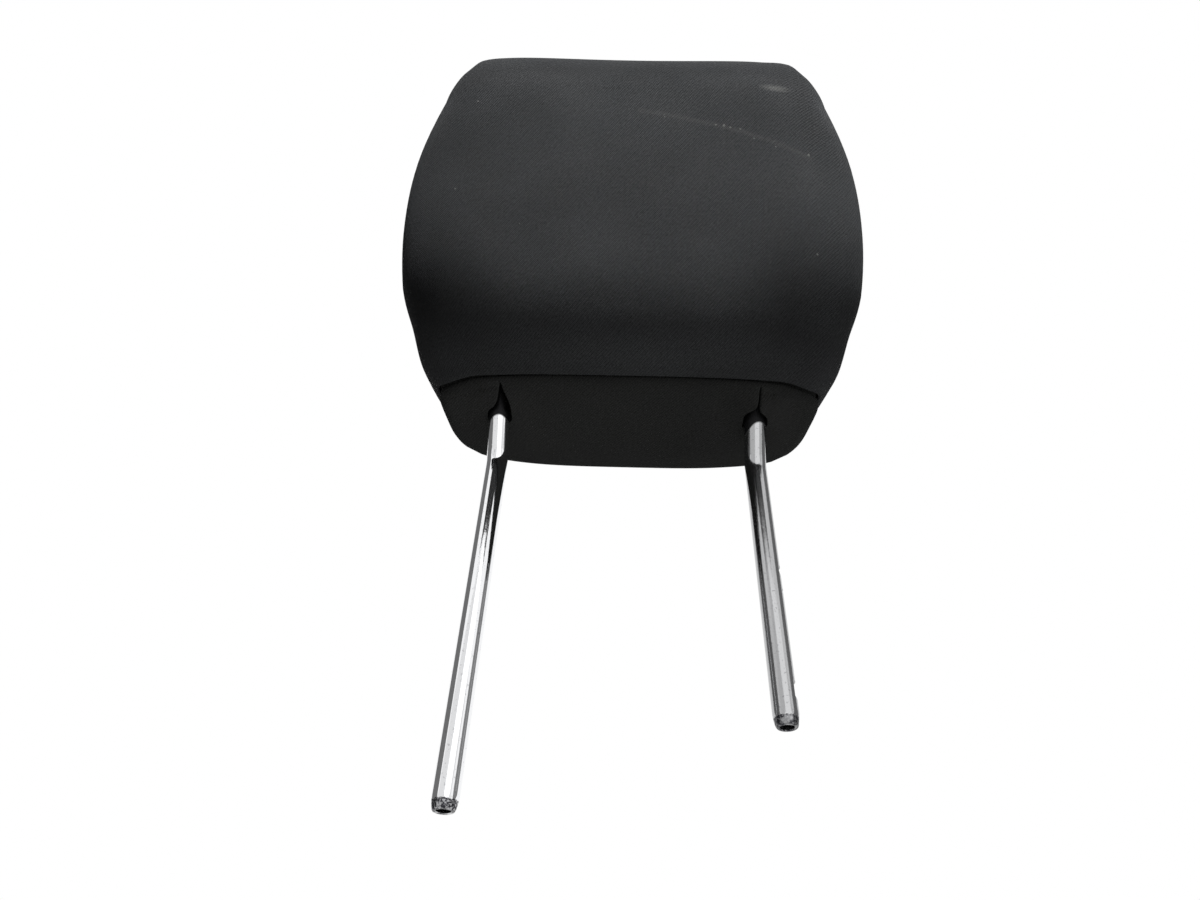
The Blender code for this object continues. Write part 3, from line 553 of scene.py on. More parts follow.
def build_panel():
    cols = columns(3.0)
    angles = (0, 12, 24, 36, 48, 58, 66, 73, 79, 84, 88)
    rows = [panel_row(cols, g) for g in angles]
    seam_rows = np.array(rows + [main_row(cols, 0.0)])
    nrm = normals_of(seam_rows)
    rows = [r for r in seam_rows]
    share = shares(cols, 3.4)[0]
    side_out = 1.5 * smooth((share - 0.6) / 0.3) + 0.5 * smooth((-share - 0.6) / 0.3)
    for i in range(1, 9):
        rows[i] = rows[i] + nrm[i] * (side_out * min(i / 4, 1.0) * (1 - 0.35 * max(i - 6, 0)))[:, None]
    front_part = 0.4 + 0.6 * smooth((shares(cols, 3.4)[1] - 0.2) / 0.5)[:, None]
    # draw the edge in under the hem, then run up behind it
    for i, inward in ((5, 0.2), (6, 0.5), (7, 0.9), (8, 1.3), (9, 1.7), (10, 2.05), (11, 2.35)):
        rows[i] = rows[i] - nrm[i] * inward * front_part
    up_rows = []
    for v, inward in ((0.05, 2.45), (0.13, 2.5), (0.24, 2.55)):
        up_rows.append(main_row(cols, v) - nrm[-1] * inward)
    rows += up_rows
    nc = len(cols)
    rim = np.array(rows[0])[:, :2]
    loops = [slot_room(-1), slot_room(1)]
    # points of the flat part: the rim, a grid, the slots and lines round them
    pts = [tuple(p) for p in rim]
    edges = [(i, (i + 1) % nc) for i in range(nc)]
    extra = []
    for loop in loops:
        c = loop.mean(0)
        for grow in (-4.0, -1.5, 0.3, 1.8, 4.0):
            n = loop - np.roll(loop, 1, 0)
            e = np.roll(loop, -1, 0) - loop
            t = (n + e) / np.linalg.norm(n + e, axis=1, keepdims=True)
            out = loop + np.stack((t[:, 1], -t[:, 0]), 1) * grow
            extra += [tuple(p) for p in out]
    gx, gy = np.meshgrid(np.arange(-112, 112.1, 3.6), np.arange(-60, 60.1, 3.6))
    grid = np.stack((gx.ravel() + 0.9 * (np.arange(gx.size) // gx.shape[1] % 2), gy.ravel()), 1)
    keep = inside(rim, grid) & (distance(rim, grid) > 2.2)
    for loop in loops:
        keep &= distance(loop, grid) > 5.2
    extra = np.array(extra)
    keep2 = inside(rim, extra) & (distance(rim, extra) > 1.0)
    pts += [tuple(p) for p in grid[keep]] + [tuple(p) for p in extra[keep2]]
    out = geometry.delaunay_2d_cdt([Vector(p) for p in pts], edges, [], 0, 1e-6)
    flat = np.array([(v.x, v.y) for v in out[0]])
    tris = [tuple(f) for f in out[2]]
    centres = np.array([flat[list(f)].mean(0) for f in tris])
    ok = inside(rim, centres)
    tris = [f for f, q in zip(tris, ok) if q]
    origins = out[3]
    back_of = {}
    for new, olds in enumerate(origins):
        for old in olds:
            back_of[old] = new
    z = panel_height(flat, rim, loops)
    flat3 = np.column_stack((flat, z))
    verts = [tuple(p) for p in flat3]
    faces = [tuple(f) for f in tris]
    # outer rounding: first row is the rim
    ring_ids = [[back_of[i] for i in range(nc)]]
    for r in rows[1:]:
        ring_ids.append(list(range(len(verts), len(verts) + nc)))
        verts += [tuple(p) for p in r]
    for a in range(len(ring_ids) - 1):
        for c in range(nc):
            e = (c + 1) % nc
            faces.append((ring_ids[a][c], ring_ids[a][e], ring_ids[a + 1][e], ring_ids[a + 1][c]))
    # inner skin: the same flat part raised by the cloth's thickness, joined to the last row
    thick = 2.4
    inner_id = {}
    for i in range(len(flat3)):
        inner_id[i] = len(verts)
        verts.append((flat3[i][0], flat3[i][1], flat3[i][2] + thick))
    for f in tris:
        faces.append(tuple(inner_id[i] for i in f)[::-1])
    inner_rim = [inner_id[i] for i in ring_ids[0]]
    last = ring_ids[-1]
    # inner side of the rounding
    mids = []
    allrows = np.array([[verts[i] for i in ids] for ids in ring_ids])
    n2 = normals_of(allrows)
    for a in (4, 8):
        mids.append(list(range(len(verts), len(verts) + nc)))
        verts += [tuple(p) for p in allrows[a] - n2[a] * 2.2]
    mids.append(list(range(len(verts), len(verts) + nc)))
    verts += [tuple(p) for p in allrows[-1] - nrm[-1] * 0.9]
    chain = [inner_rim] + mids + [last]
    for a in range(len(chain) - 1):
        for c in range(nc):
            e = (c + 1) % nc
            faces.append((chain[a][c], chain[a + 1][c], chain[a + 1][e], chain[a][e]))
    uvs = []
    P = np.array(verts)
    for f in faces:
        for i in f:
            uvs.append((P[i][0] * MM + 4.0, P[i][1] * MM))
    o = object_from("cover_panel", P, faces, uvs)
    bm = bmesh.new()
    bm.from_mesh(o.data)
    loose = [v for v in bm.verts if not v.link_faces]
    bmesh.ops.delete(bm, geom=loose, context="VERTS")
    bmesh.ops.recalc_face_normals(bm, faces=bm.faces)
    open_edges = sum(1 for e in bm.edges if len(e.link_faces) != 2)
    bm.to_mesh(o.data)
    bm.free()
    print("panel: open edges", open_edges)
    flip_if_inside_out(o)
    # the whole cloth's height under the openings, then the room that each post needs is cut out
    bm = bmesh.new()
    bm.from_mesh(o.data)
    skin = BVHTree.FromBMesh(bm)
    bm.free()
    for loop in loops:
        m = len(loop)
        vs = [(x, y, z) for z in (195.0, 240.0) for x, y in loop]
        fs = [tuple(range(m))[::-1], tuple(range(m, 2 * m))] + [(i, (i + 1) % m, m + (i + 1) % m, m + i) for i in range(m)]
        tool = object_from("slot_tool", vs, fs, smooth_shade=False)
        flip_if_inside_out(tool)
        cut = o.modifiers.new("slot", "BOOLEAN")
        cut.object, cut.solver, cut.operation = tool, "EXACT", "DIFFERENCE"
        new = bpy.data.meshes.new_from_object(o.evaluated_get(bpy.context.evaluated_depsgraph_get()))
        o.modifiers.clear()
        old, o.data = o.data, new
        bpy.data.meshes.remove(old)
        bpy.data.objects.remove(tool, do_unlink=True)
    o.data.name = o.name
    o.data.shade_smooth()
    o.data.set_sharp_from_angle(angle=math.radians(50))
    # how close each point lies to the front seam, 1 at the seam and fading over a few millimetres; it drives the
    # painted shadow under the seam
    line = np.array(main_row(columns(1.0), 0.0))[:, :2]
    line = line[line[:, 1] < line[:, 1].mean()]
    mesh_at = np.array([tuple(v.co) for v in o.data.vertices])[:, :2] / MM
    near = np.sqrt(((mesh_at[:, None, :] - line[None, :, :]) ** 2).sum(-1)).min(1)
    shade = o.data.attributes.new("seam_shade", "FLOAT", "POINT")
    shade.data.foreach_set("value", np.exp(-(near / 4.2) ** 1.3).astype(np.float32))
    print("panel: nearest to the seam", near.min(), "columns", len(line))
    return o, skin


def build_lips(side, word, skin):
    """The cloth on both sides of the leaf opening and its slit, between it and the room the post tilts into."""
    cx, cy = slot_frame(side)
    turn = np.radians(np.linspace(0, 89.7, 26))
    ys = np.concatenate((cy + ROOM_BACK + SLOT_HALF * np.sin(turn[::-1]),
                         np.linspace(cy + ROOM_BACK, cy - ROOM_FORE[side], 34)[1:-1],
                         cy - ROOM_FORE[side] - SLOT_HALF * np.sin(turn)))
    made = []
    for name, sgn in (("a", -1), ("b", 1)):
        # stations along y: inner edge on the opening, outer edge on the room's outline
        rows = []
        for y in ys:
            beyond = max(y - (cy + ROOM_BACK), (cy - ROOM_FORE[side]) - y, 0.0)
            outer = cx + sgn * math.sqrt(max(SLOT_HALF ** 2 - beyond ** 2, 0.0))
            edge = leaf_edges(side, y)[1 if sgn == -side else 0]
            if (outer - edge) * sgn < 0.05:
                edge = outer - sgn * 0.05
            rows.append((y, edge, outer))
        verts, faces = [], []
        profile = []
        n_out = 7
        for y, edge, outer in rows:
            outer = outer + sgn * 0.0
            wdt = abs(outer - edge)
            r = min(1.1, wdt * 0.45)
            line = []
            for i in range(n_out):                    # from the room's edge in towards the leaf
                x = outer + (edge + sgn * r - outer) * i / (n_out - 1)
                line.append((x, 0.0))
            for a in (25, 50, 75, 100, 130):          # round over the edge
                a = math.radians(a)
                line.append((edge + sgn * r - sgn * r * math.sin(a), r * (1 - math.cos(a)) * 1.15))
            line.append((edge + sgn * r * 0.4, 3.2))
            line.append((outer - sgn * min(0.15, wdt * 0.1), 3.2))
            line.append((outer - sgn * 0.0, 1.2))
            profile.append([(x, y, h) for x, h in line])
        nl = len(profile[0])
        for line in profile:
            for x, y, h in line:
                verts.append((x, y, PANEL_Z + h))
        P = np.array(verts)
        for p in P:
            hit = skin.ray_cast(Vector((p[0], p[1], 195.0)) * MM, Vector((0, 0, 1)))[0]
            p[2] += (hit.z / MM if hit is not None else PANEL_Z) - PANEL_Z
        P = P.reshape(len(profile), nl, 3)
        for a in range(len(profile) - 1):
            for c in range(nl):
                d = (c + 1) % nl
                faces.append((a * nl + c, a * nl + d, (a + 1) * nl + d, (a + 1) * nl + c))
        faces.append(tuple(range(nl))[::-1])
        faces.append(tuple(range((len(profile) - 1) * nl, len(profile) * nl)))
        V = P.reshape(-1, 3)
        uvs = []
        for f in faces:
            for i in f:
                uvs.append((V[i][0] * MM + 4.0, V[i][1] * MM))
        o = object_from("slot_lip_%s_%s" % (word, name), V, faces, uvs)
        bm = bmesh.new()
        bm.from_mesh(o.data)
        bmesh.ops.recalc_face_normals(bm, faces=bm.faces)
        bm.to_mesh(o.data)
        bm.free()
        flip_if_inside_out(o)
        o.data.set_sharp_from_angle(angle=math.radians(50))
        made.append((o, (cx + sgn * SLOT_HALF) * MM))
    return made


def build_lining(side, word):
    """The dark cloth tube that lines the opening behind the lips; it fans out for the tilt."""
    cx, _ = slot_frame(side)
    steps, levels = 18, (215.2, 219.0, 224.0, 230.0, 236.0, 241.0)
    rows = {}
    for skin, r in (("in", 7.75), ("out", 8.35)):
        for z in levels:
            back = PIVOT[1] + (PIVOT[2] - z) * math.tan(POST_LEAN) + 1.2
            fore = PIVOT[1] + (PIVOT[2] - z) * math.tan(POST_LEAN - math.radians(12)) - 1.4
            rows[skin, z] = [(cx + r * math.cos(math.pi * (i + 0.5) / steps),
                              (back if i < steps else fore) + r * math.sin(math.pi * (i + 0.5) / steps), z)
                             for i in range(2 * steps)]
        low = np.array([p[:2] for p in rows[skin, levels[0]]])
        drop = hang(side, low, np.zeros(len(low)))
        rows[skin, levels[0]] = [(x, y, PANEL_Z + 0.9 - d) for (x, y), d in zip(low, drop)]
    chain = [rows["in", z] for z in levels] + [rows["out", z] for z in levels[::-1]]
    n, m = len(chain), 2 * steps
    verts = [p for row in chain for p in row]
    faces = [(a * m + c, a * m + (c + 1) % m, (a + 1) % n * m + (c + 1) % m, (a + 1) % n * m + c)
             for a in range(n) for c in range(m)]
    uvs = [(verts[i][0] * MM + 4.0, (verts[i][1] + verts[i][2]) * MM) for f in faces for i in f]
    o = object_from("slot_lining_" + word, verts, faces, uvs)
    flip_if_inside_out(o)
    return o


# ------------------------------------------------------------------ posts
def post_line(end_z):
    """Stations of the post's axis above its tip: (point, lean, height along)."""
    half = POST_LEAN / 2
    run = BEND_R * math.tan(half)
    low = np.array((0, 0, BEND_Z - run))
    centre = low + np.array((0, -BEND_R, 0))
    out = []
    z = end_z + TIP_LEN + 1
    while z < low[2] - 3:
        out.append((np.array((0, 0, z)), 0.0))
        z += 6.0
    steps = 22
    for i in range(steps + 1):
        g = POST_LEAN * i / steps
        out.append((centre + np.array((0, math.cos(g), math.sin(g))) * BEND_R, g))
    last = out[-1][0]
    top = PIVOT + POST_DIR * POST_OVER
    length = np.linalg.norm(top - last)
    n = int(length / 6)
    for i in range(1, n + 1):
        out.append((last + POST_DIR * length * i / n, POST_LEAN))
    return out


def build_post(word, side):
    end = ENDS[word]
    x = side * POST_X
    sides = 96
    rng = np.random.default_rng(11 if side < 0 else 12)
    tip = [(TIP_R - 0.55, 0.0), (TIP_R - 0.12, 0.12), (TIP_R + 0.25, 0.5), (TIP_R + 0.5, 1.1), (TIP_R + 0.72, 2.0),
           (TIP_R + 0.9, 3.0), (TIP_R + 1.02, 3.9), (TUBE_R - 0.16, 4.8), (TUBE_R - 0.06, 5.8), (TUBE_R - 0.01, 6.8),
           (TUBE_R, TIP_LEN)]
    bore = [(TIP_BORE + 0.35, 0.0), (TIP_BORE, 0.35), (TIP_BORE, 3.5), (TIP_BORE + 0.5, 5.2), (TUBE_R - TUBE_WALL, TIP_LEN)]
    outer = [(np.array((0, 0, end + h)), 0.0, r, h) for r, h in tip] + [(p, g, TUBE_R, 99) for p, g in post_line(end)]
    inner = [(np.array((0, 0, end + h)), 0.0, r, 99) for r, h in bore] + [(p, g, TUBE_R - TUBE_WALL, 99) for p, g in post_line(end)]
    phase = rng.uniform(0, 2 * math.pi / 9)
    verts, rows = [], []
    ang = 2 * np.pi * (np.arange(sides) + 0.5) / sides
    for p, g, r, h in outer + inner[::-1]:
        d = np.array((0, -math.sin(g), math.cos(g)))
        a = np.array((1.0, 0, 0))
        b = np.cross(d, a)
        rr = np.full(sides, r)
        if h < 6:                                     # shallow flats left by the swaging jaws
            fade = math.sin(math.pi * min(h / 5.8, 1)) ** 0.7
            rr = rr - 0.17 * fade * np.abs(np.sin((ang - phase) * 4.5)) ** 0.6
        rows.append(list(range(len(verts), len(verts) + sides)))
        pts = p + np.array((x, 0, 0)) + (a[None] * np.cos(ang)[:, None] + b[None] * np.sin(ang)[:, None]) * rr[:, None]
        verts += [tuple(q) for q in pts]
    faces = []
    for k in range(len(rows)):
        p, q = rows[k], rows[(k + 1) % len(rows)]
        for i in range(sides):
            j = (i + 1) % sides
            faces.append((p[i], p[j], q[j], q[i]))
    o = object_from("chrome_post_%s" % word, verts, faces)
    bm = bmesh.new()
    bm.from_mesh(o.data)
    bmesh.ops.recalc_face_normals(bm, faces=bm.faces)
    bm.to_mesh(o.data)
    bm.free()
    flip_if_inside_out(o)
    if side > 0:
        for low, high, deep, run in NOTCHES:
            x0, x1 = x + TUBE_R - deep, x + TUBE_R + 3
            z0, z1 = end + low, end + high
            line = ((x0, z0 + run), (x1, z0 - run * 3 / deep), (x1, z1 + 0.6), (x0, z1))
            vs = [(px, y, pz) for y in (-9, 9) for px, pz in line]
            fs = [(0, 1, 2, 3), (7, 6, 5, 4), (0, 4, 5, 1), (1, 5, 6, 2), (2, 6, 7, 3), (3, 7, 4, 0)]
            c = object_from("notch_tool", vs, fs, smooth_shade=False)
            flip_if_inside_out(c)
            m = o.modifiers.new("notch", "BOOLEAN")
            m.object, m.solver, m.operation = c, "EXACT", "DIFFERENCE"
            new = bpy.data.meshes.new_from_object(o.evaluated_get(bpy.context.evaluated_depsgraph_get()))
            o.modifiers.clear()
            old, o.data = o.data, new
            bpy.data.meshes.remove(old)
            bpy.data.objects.remove(c, do_unlink=True)
        o.data.name = o.name
        o.data.shade_smooth()
    o.data.set_sharp_from_angle(angle=math.radians(32))
    return o


# ------------------------------------------------------------------ materials
class Nodes:
    """A small helper to write node trees."""

    def __init__(self, mat):
        mat.use_nodes = True
        self.tree = mat.node_tree
        self.shader = self.tree.nodes["Principled BSDF"]

    def put(self, socket, value):
        if hasattr(value, "outputs"):
            value = value.outputs[0]
        if isinstance(value, bpy.types.NodeSocket):
            self.tree.links.new(value, socket)
        elif value is not None:
            socket.default_value = value

    def node(self, kind, *inputs, **props):
        n = self.tree.nodes.new("ShaderNode" + kind)
        for k, v in props.items():
            setattr(n, k, v)
        for i, v in enumerate(inputs):
            if v is not None:
                self.put(n.inputs[i], v)
        return n

    def math(self, op, a, b=None, c=None, clamp=False):
        n = self.node("Math", a, b, c, operation=op)
        n.use_clamp = clamp
        return n

    def vmath(self, op, a, b=None, scale=None):
        n = self.node("VectorMath", a, b, operation=op)
        if scale is not None:
            n.inputs["Scale"].default_value = scale
        return n

    def noise(self, vec, scale, detail=2.0, rough=0.5, distort=0.0):
        n = self.tree.nodes.new("ShaderNodeTexNoise")
        self.put(n.inputs["Vector"], vec)
        n.inputs["Scale"].default_value = scale
        n.inputs["Detail"].default_value = detail
        n.inputs["Roughness"].default_value = rough
        n.inputs["Distortion"].default_value = distort
        return n

    def ramp(self, fac, *stops):
        n = self.tree.nodes.new("ShaderNodeValToRGB")
        self.put(n.inputs[0], fac)
        e = n.color_ramp.elements
        while len(e) < len(stops):
            e.new(0.5)
        for el, (p, c) in zip(e, stops):
            el.position = p
            el.color = (c, c, c, 1) if isinstance(c, (int, float)) else (*c, 1)
        return n

    def mix(self, fac, a, b, blend="MIX"):
        n = self.tree.nodes.new("ShaderNodeMix")
        n.data_type = "RGBA"
        n.blend_type = blend
        self.put(n.inputs[0], fac)
        self.put(n.inputs[6], (*a, 1) if isinstance(a, tuple) else a)
        self.put(n.inputs[7], (*b, 1) if isinstance(b, tuple) else b)
        return n.outputs[2]

    def bump(self, height, distance, strength=1.0, normal=None):
        n = self.tree.nodes.new("ShaderNodeBump")
        n.inputs["Strength"].default_value = strength
        n.inputs["Distance"].default_value = distance
        self.put(n.inputs["Height"], height)
        if normal is not None:
            self.put(n.inputs["Normal"], normal)
        return n


LINT = (                       # along the face in mm: x, height s above the swivel axis, radius
    (45.0, 73.6, 0.55), (49.5, 73.2, 0.66), (53.0, 72.2, 0.50), (58.5, 71.4, 0.50), (97.0, 60.5, 0.75), (-88.0, 90.5, 0.5),
    (-97.5, 36.0, 0.5), (100.0, 1.0, 0.55), (17.0, 78.0, 0.32), (66.0, 66.0, 0.4), (78.0, 62.0, 0.35), (-60.0, 12.0, 0.3),
)


def fabric(name, base, light, sheen, lint=False, seam=False, pitch=0.00115):
    mat = bpy.data.materials.new(name)
    mat.diffuse_color = (*base, 1)
    n = Nodes(mat)
    uv = n.node("UVMap", uv_map="cloth").outputs[0]
    obj = n.node("TexCoord").outputs["Object"]
    # yarns wander a little
    wobble = n.noise(obj, 160.0, 2.0, 0.6)
    off = n.vmath("SCALE", n.vmath("SUBTRACT", wobble.outputs["Color"], (0.5, 0.5, 0.5)), scale=0.0005)
    at = n.vmath("ADD", uv, off)
    sep = n.node("SeparateXYZ", at)
    u, v = sep.outputs[0], sep.outputs[1]
    k = 2 * math.pi / pitch
    # a plain weave seen as small diamonds, with a faint diagonal
    wu = n.math("SINE", n.math("MULTIPLY", u, k))
    wv = n.math("SINE", n.math("MULTIPLY", v, k))
    cell = n.math("MULTIPLY", wu, wv)
    diag = n.math("SINE", n.math("MULTIPLY", n.math("ADD", u, n.math("MULTIPLY", v, 0.82)), k * 0.62))
    weave = n.math("ADD", n.math("MULTIPLY", cell, 0.5), n.math("MULTIPLY", diag, 0.32))
    fine = n.noise(at, 2600.0, 2.0, 0.6)
    fuzz = n.math("MULTIPLY", n.math("SUBTRACT", fine.outputs["Fac"], 0.5), 1.5)
    height = n.math("ADD", weave, fuzz)
    # colour: yarn tops lighter, melange at 2-4 mm, slow patches
    tone = n.math("MULTIPLY_ADD", height, 0.5, 0.5, clamp=True)
    melange = n.noise(at, 620.0, 3.0, 0.75)
    patch = n.noise(obj, 22.0, 3.0, 0.55)
    slow = n.noise(obj, 7.0, 2.0, 0.5)
    shade = n.math("ADD", n.math("MULTIPLY", tone, 0.42), n.math("MULTIPLY", melange.outputs["Fac"], 0.62))
    col = n.mix(n.ramp(shade, (0.27, 0.0), (0.85, 1.0)), base, light)
    worn = n.math("MULTIPLY_ADD", patch.outputs["Fac"], 0.5, 0.76)
    worn2 = n.math("MULTIPLY_ADD", slow.outputs["Fac"], 0.36, 0.82)
    grey = n.node("CombineXYZ", n.math("MULTIPLY", worn, worn2), n.math("MULTIPLY", worn, worn2), n.math("MULTIPLY", worn, worn2))
    col = n.mix(1.0, col, grey.outputs[0], "MULTIPLY")
    # slight cool and green variation in the dye
    tint = n.noise(obj, 55.0, 2.0, 0.5)
    col = n.mix(n.math("MULTIPLY", tint.outputs["Fac"], 0.55), col, n.mix(1.0, col, (0.95, 1.0, 1.06), "MULTIPLY"))
    if lint:
        place = n.node("SeparateXYZ", obj)
        px = place.outputs[0]
        # height up the face: the cushion leans, so take z and y together
        up = n.vmath("DOT_PRODUCT", n.vmath("SUBTRACT", obj, tuple(PIVOT * MM)), tuple(UP)).outputs["Value"]
        fwd = n.vmath("DOT_PRODUCT", n.vmath("SUBTRACT", obj, tuple(PIVOT * MM)), tuple(FRONT)).outputs["Value"]
        in_front = n.math("GREATER_THAN", fwd, 0.02)
        # painted shade: the cover is darkened by up to a quarter over the top, where it would otherwise catch more
        # light
        over = n.math("MULTIPLY_ADD", n.math("MULTIPLY", n.math("SUBTRACT", up, 0.100), 1.0 / 0.012, clamp=True), -0.25, 1.0)
        col = n.mix(1.0, col, n.node("CombineXYZ", over, over, over).outputs[0], "MULTIPLY")
        # painted shade and painted light: darker low on both sides of the face, where it turns away from the light,
        # and lighter on the roll above the middle of the seam, where it catches light
        low = n.math("MULTIPLY", n.math("ADD", up, 0.022), 1.0 / 0.027)
        band = n.math("EXPONENT", n.math("MULTIPLY", n.math("MULTIPLY", low, low), -1.0))
        left = n.math("MULTIPLY", n.math("SUBTRACT", n.math("MULTIPLY", px, -1.0), 0.062), 1.0 / 0.045, clamp=True)
        right = n.math("MULTIPLY", n.math("SUBTRACT", px, 0.045), 1.0 / 0.040, clamp=True)
        darker = n.math("MULTIPLY", n.math("ADD", n.math("MULTIPLY", left, 0.64), n.math("MULTIPLY", right, 0.50)), band)
        roll_at = n.math("MULTIPLY", n.math("ADD", up, 0.058), 1.0 / 0.012)
        mid_at = n.math("MULTIPLY", n.math("SUBTRACT", px, 0.005), 1.0 / 0.055)
        both = n.math("ADD", n.math("MULTIPLY", roll_at, roll_at), n.math("MULTIPLY", mid_at, mid_at))
        lighter = n.math("MULTIPLY", n.math("EXPONENT", n.math("MULTIPLY", both, -1.0)), 0.40)
        facing = n.math("MULTIPLY", fwd, 33.0, clamp=True)
        # painted shade on the lower sides and painted light on the roll, on the front of the cover only
        painted_light_and_shade = n.math("MULTIPLY_ADD", n.math("SUBTRACT", lighter, darker), facing, 1.0)
        col = n.mix(1.0, col, n.node("CombineXYZ", painted_light_and_shade, painted_light_and_shade, painted_light_and_shade).outputs[0], "MULTIPLY")
        rag = n.noise(obj, 900.0, 2.0, 0.6)
        edge = n.math("MULTIPLY", n.math("SUBTRACT", rag.outputs["Fac"], 0.5), 0.0011)
        total = None
        for x, s, r in LINT:
            dx = n.math("SUBTRACT", px, x * MM)
            ds = n.math("SUBTRACT", up, s * MM)
            dist = n.math("SQRT", n.math("ADD", n.math("MULTIPLY", dx, dx), n.math("MULTIPLY", ds, ds)))
            one = n.math("LESS_THAN", n.math("ADD", dist, edge), r * MM)
            total = one if total is None else n.math("MAXIMUM", total, one)
        # a pale rubbed mark near the upper right corner
        dx = n.math("DIVIDE", n.math("SUBTRACT", px, 0.0790), 0.0080)
        ds = n.math("DIVIDE", n.math("SUBTRACT", up, 0.1005), 0.0024)
        ell = n.math("SQRT", n.math("ADD", n.math("MULTIPLY", dx, dx), n.math("MULTIPLY", ds, ds)))
        rub = n.math("MULTIPLY", n.math("SUBTRACT", 1.25, ell, clamp=True), n.math("MULTIPLY", rag.outputs["Fac"], 0.75))
        # a faint arc of fluff across the upper half
        bend = n.math("MULTIPLY", n.math("SUBTRACT", px, -0.004), n.math("SUBTRACT", px, -0.004))
        arc_s = n.math("SUBTRACT", n.math("SUBTRACT", 0.0828, n.math("MULTIPLY", px, 0.17)), n.math("MULTIPLY", bend, 0.75))
        da = n.math("ABSOLUTE", n.math("SUBTRACT", up, arc_s))
        arc = n.math("MULTIPLY", n.math("SUBTRACT", 1.0, n.math("DIVIDE", da, 0.0022), clamp=True),
                     n.math("MULTIPLY", n.math("GREATER_THAN", px, 0.002), n.math("LESS_THAN", px, 0.099)))
        arc = n.math("MULTIPLY", arc, n.math("MULTIPLY", rag.outputs["Fac"], 0.10))
        marks = n.math("MULTIPLY", n.math("MAXIMUM", n.math("MULTIPLY", total, 0.36), n.math("MAXIMUM", n.math("MULTIPLY", rub, 0.55), arc)), in_front)
        col = n.mix(marks, col, (0.20, 0.20, 0.19))
    if seam:
        # painted shadow: the cloth is darker close under the front seam, where the roll above overhangs it
        near = n.math("MULTIPLY_ADD", n.node("Attribute", attribute_name="seam_shade").outputs["Fac"], -0.45, 1.0)
        col = n.mix(1.0, col, n.node("CombineXYZ", near, near, near).outputs[0], "MULTIPLY")
    n.put(n.shader.inputs["Base Color"], col)
    n.put(n.shader.inputs["Roughness"], n.math("MULTIPLY_ADD", tone, -0.12, 0.95))
    n.shader.inputs["Specular IOR Level"].default_value = 0.04
    n.shader.inputs["Sheen Weight"].default_value = sheen
    n.shader.inputs["Sheen Roughness"].default_value = 0.45
    n.shader.inputs["Sheen Tint"].default_value = (0.75, 0.8, 0.85, 1)
    big = n.noise(obj, 240.0, 2.0, 0.5)
    b1 = n.bump(big.outputs["Fac"], 0.00025, 0.5)
    b2 = n.bump(height, 0.00020, 0.9, b1.outputs[0])
    n.put(n.shader.inputs["Normal"], b2.outputs[0])
    return mat


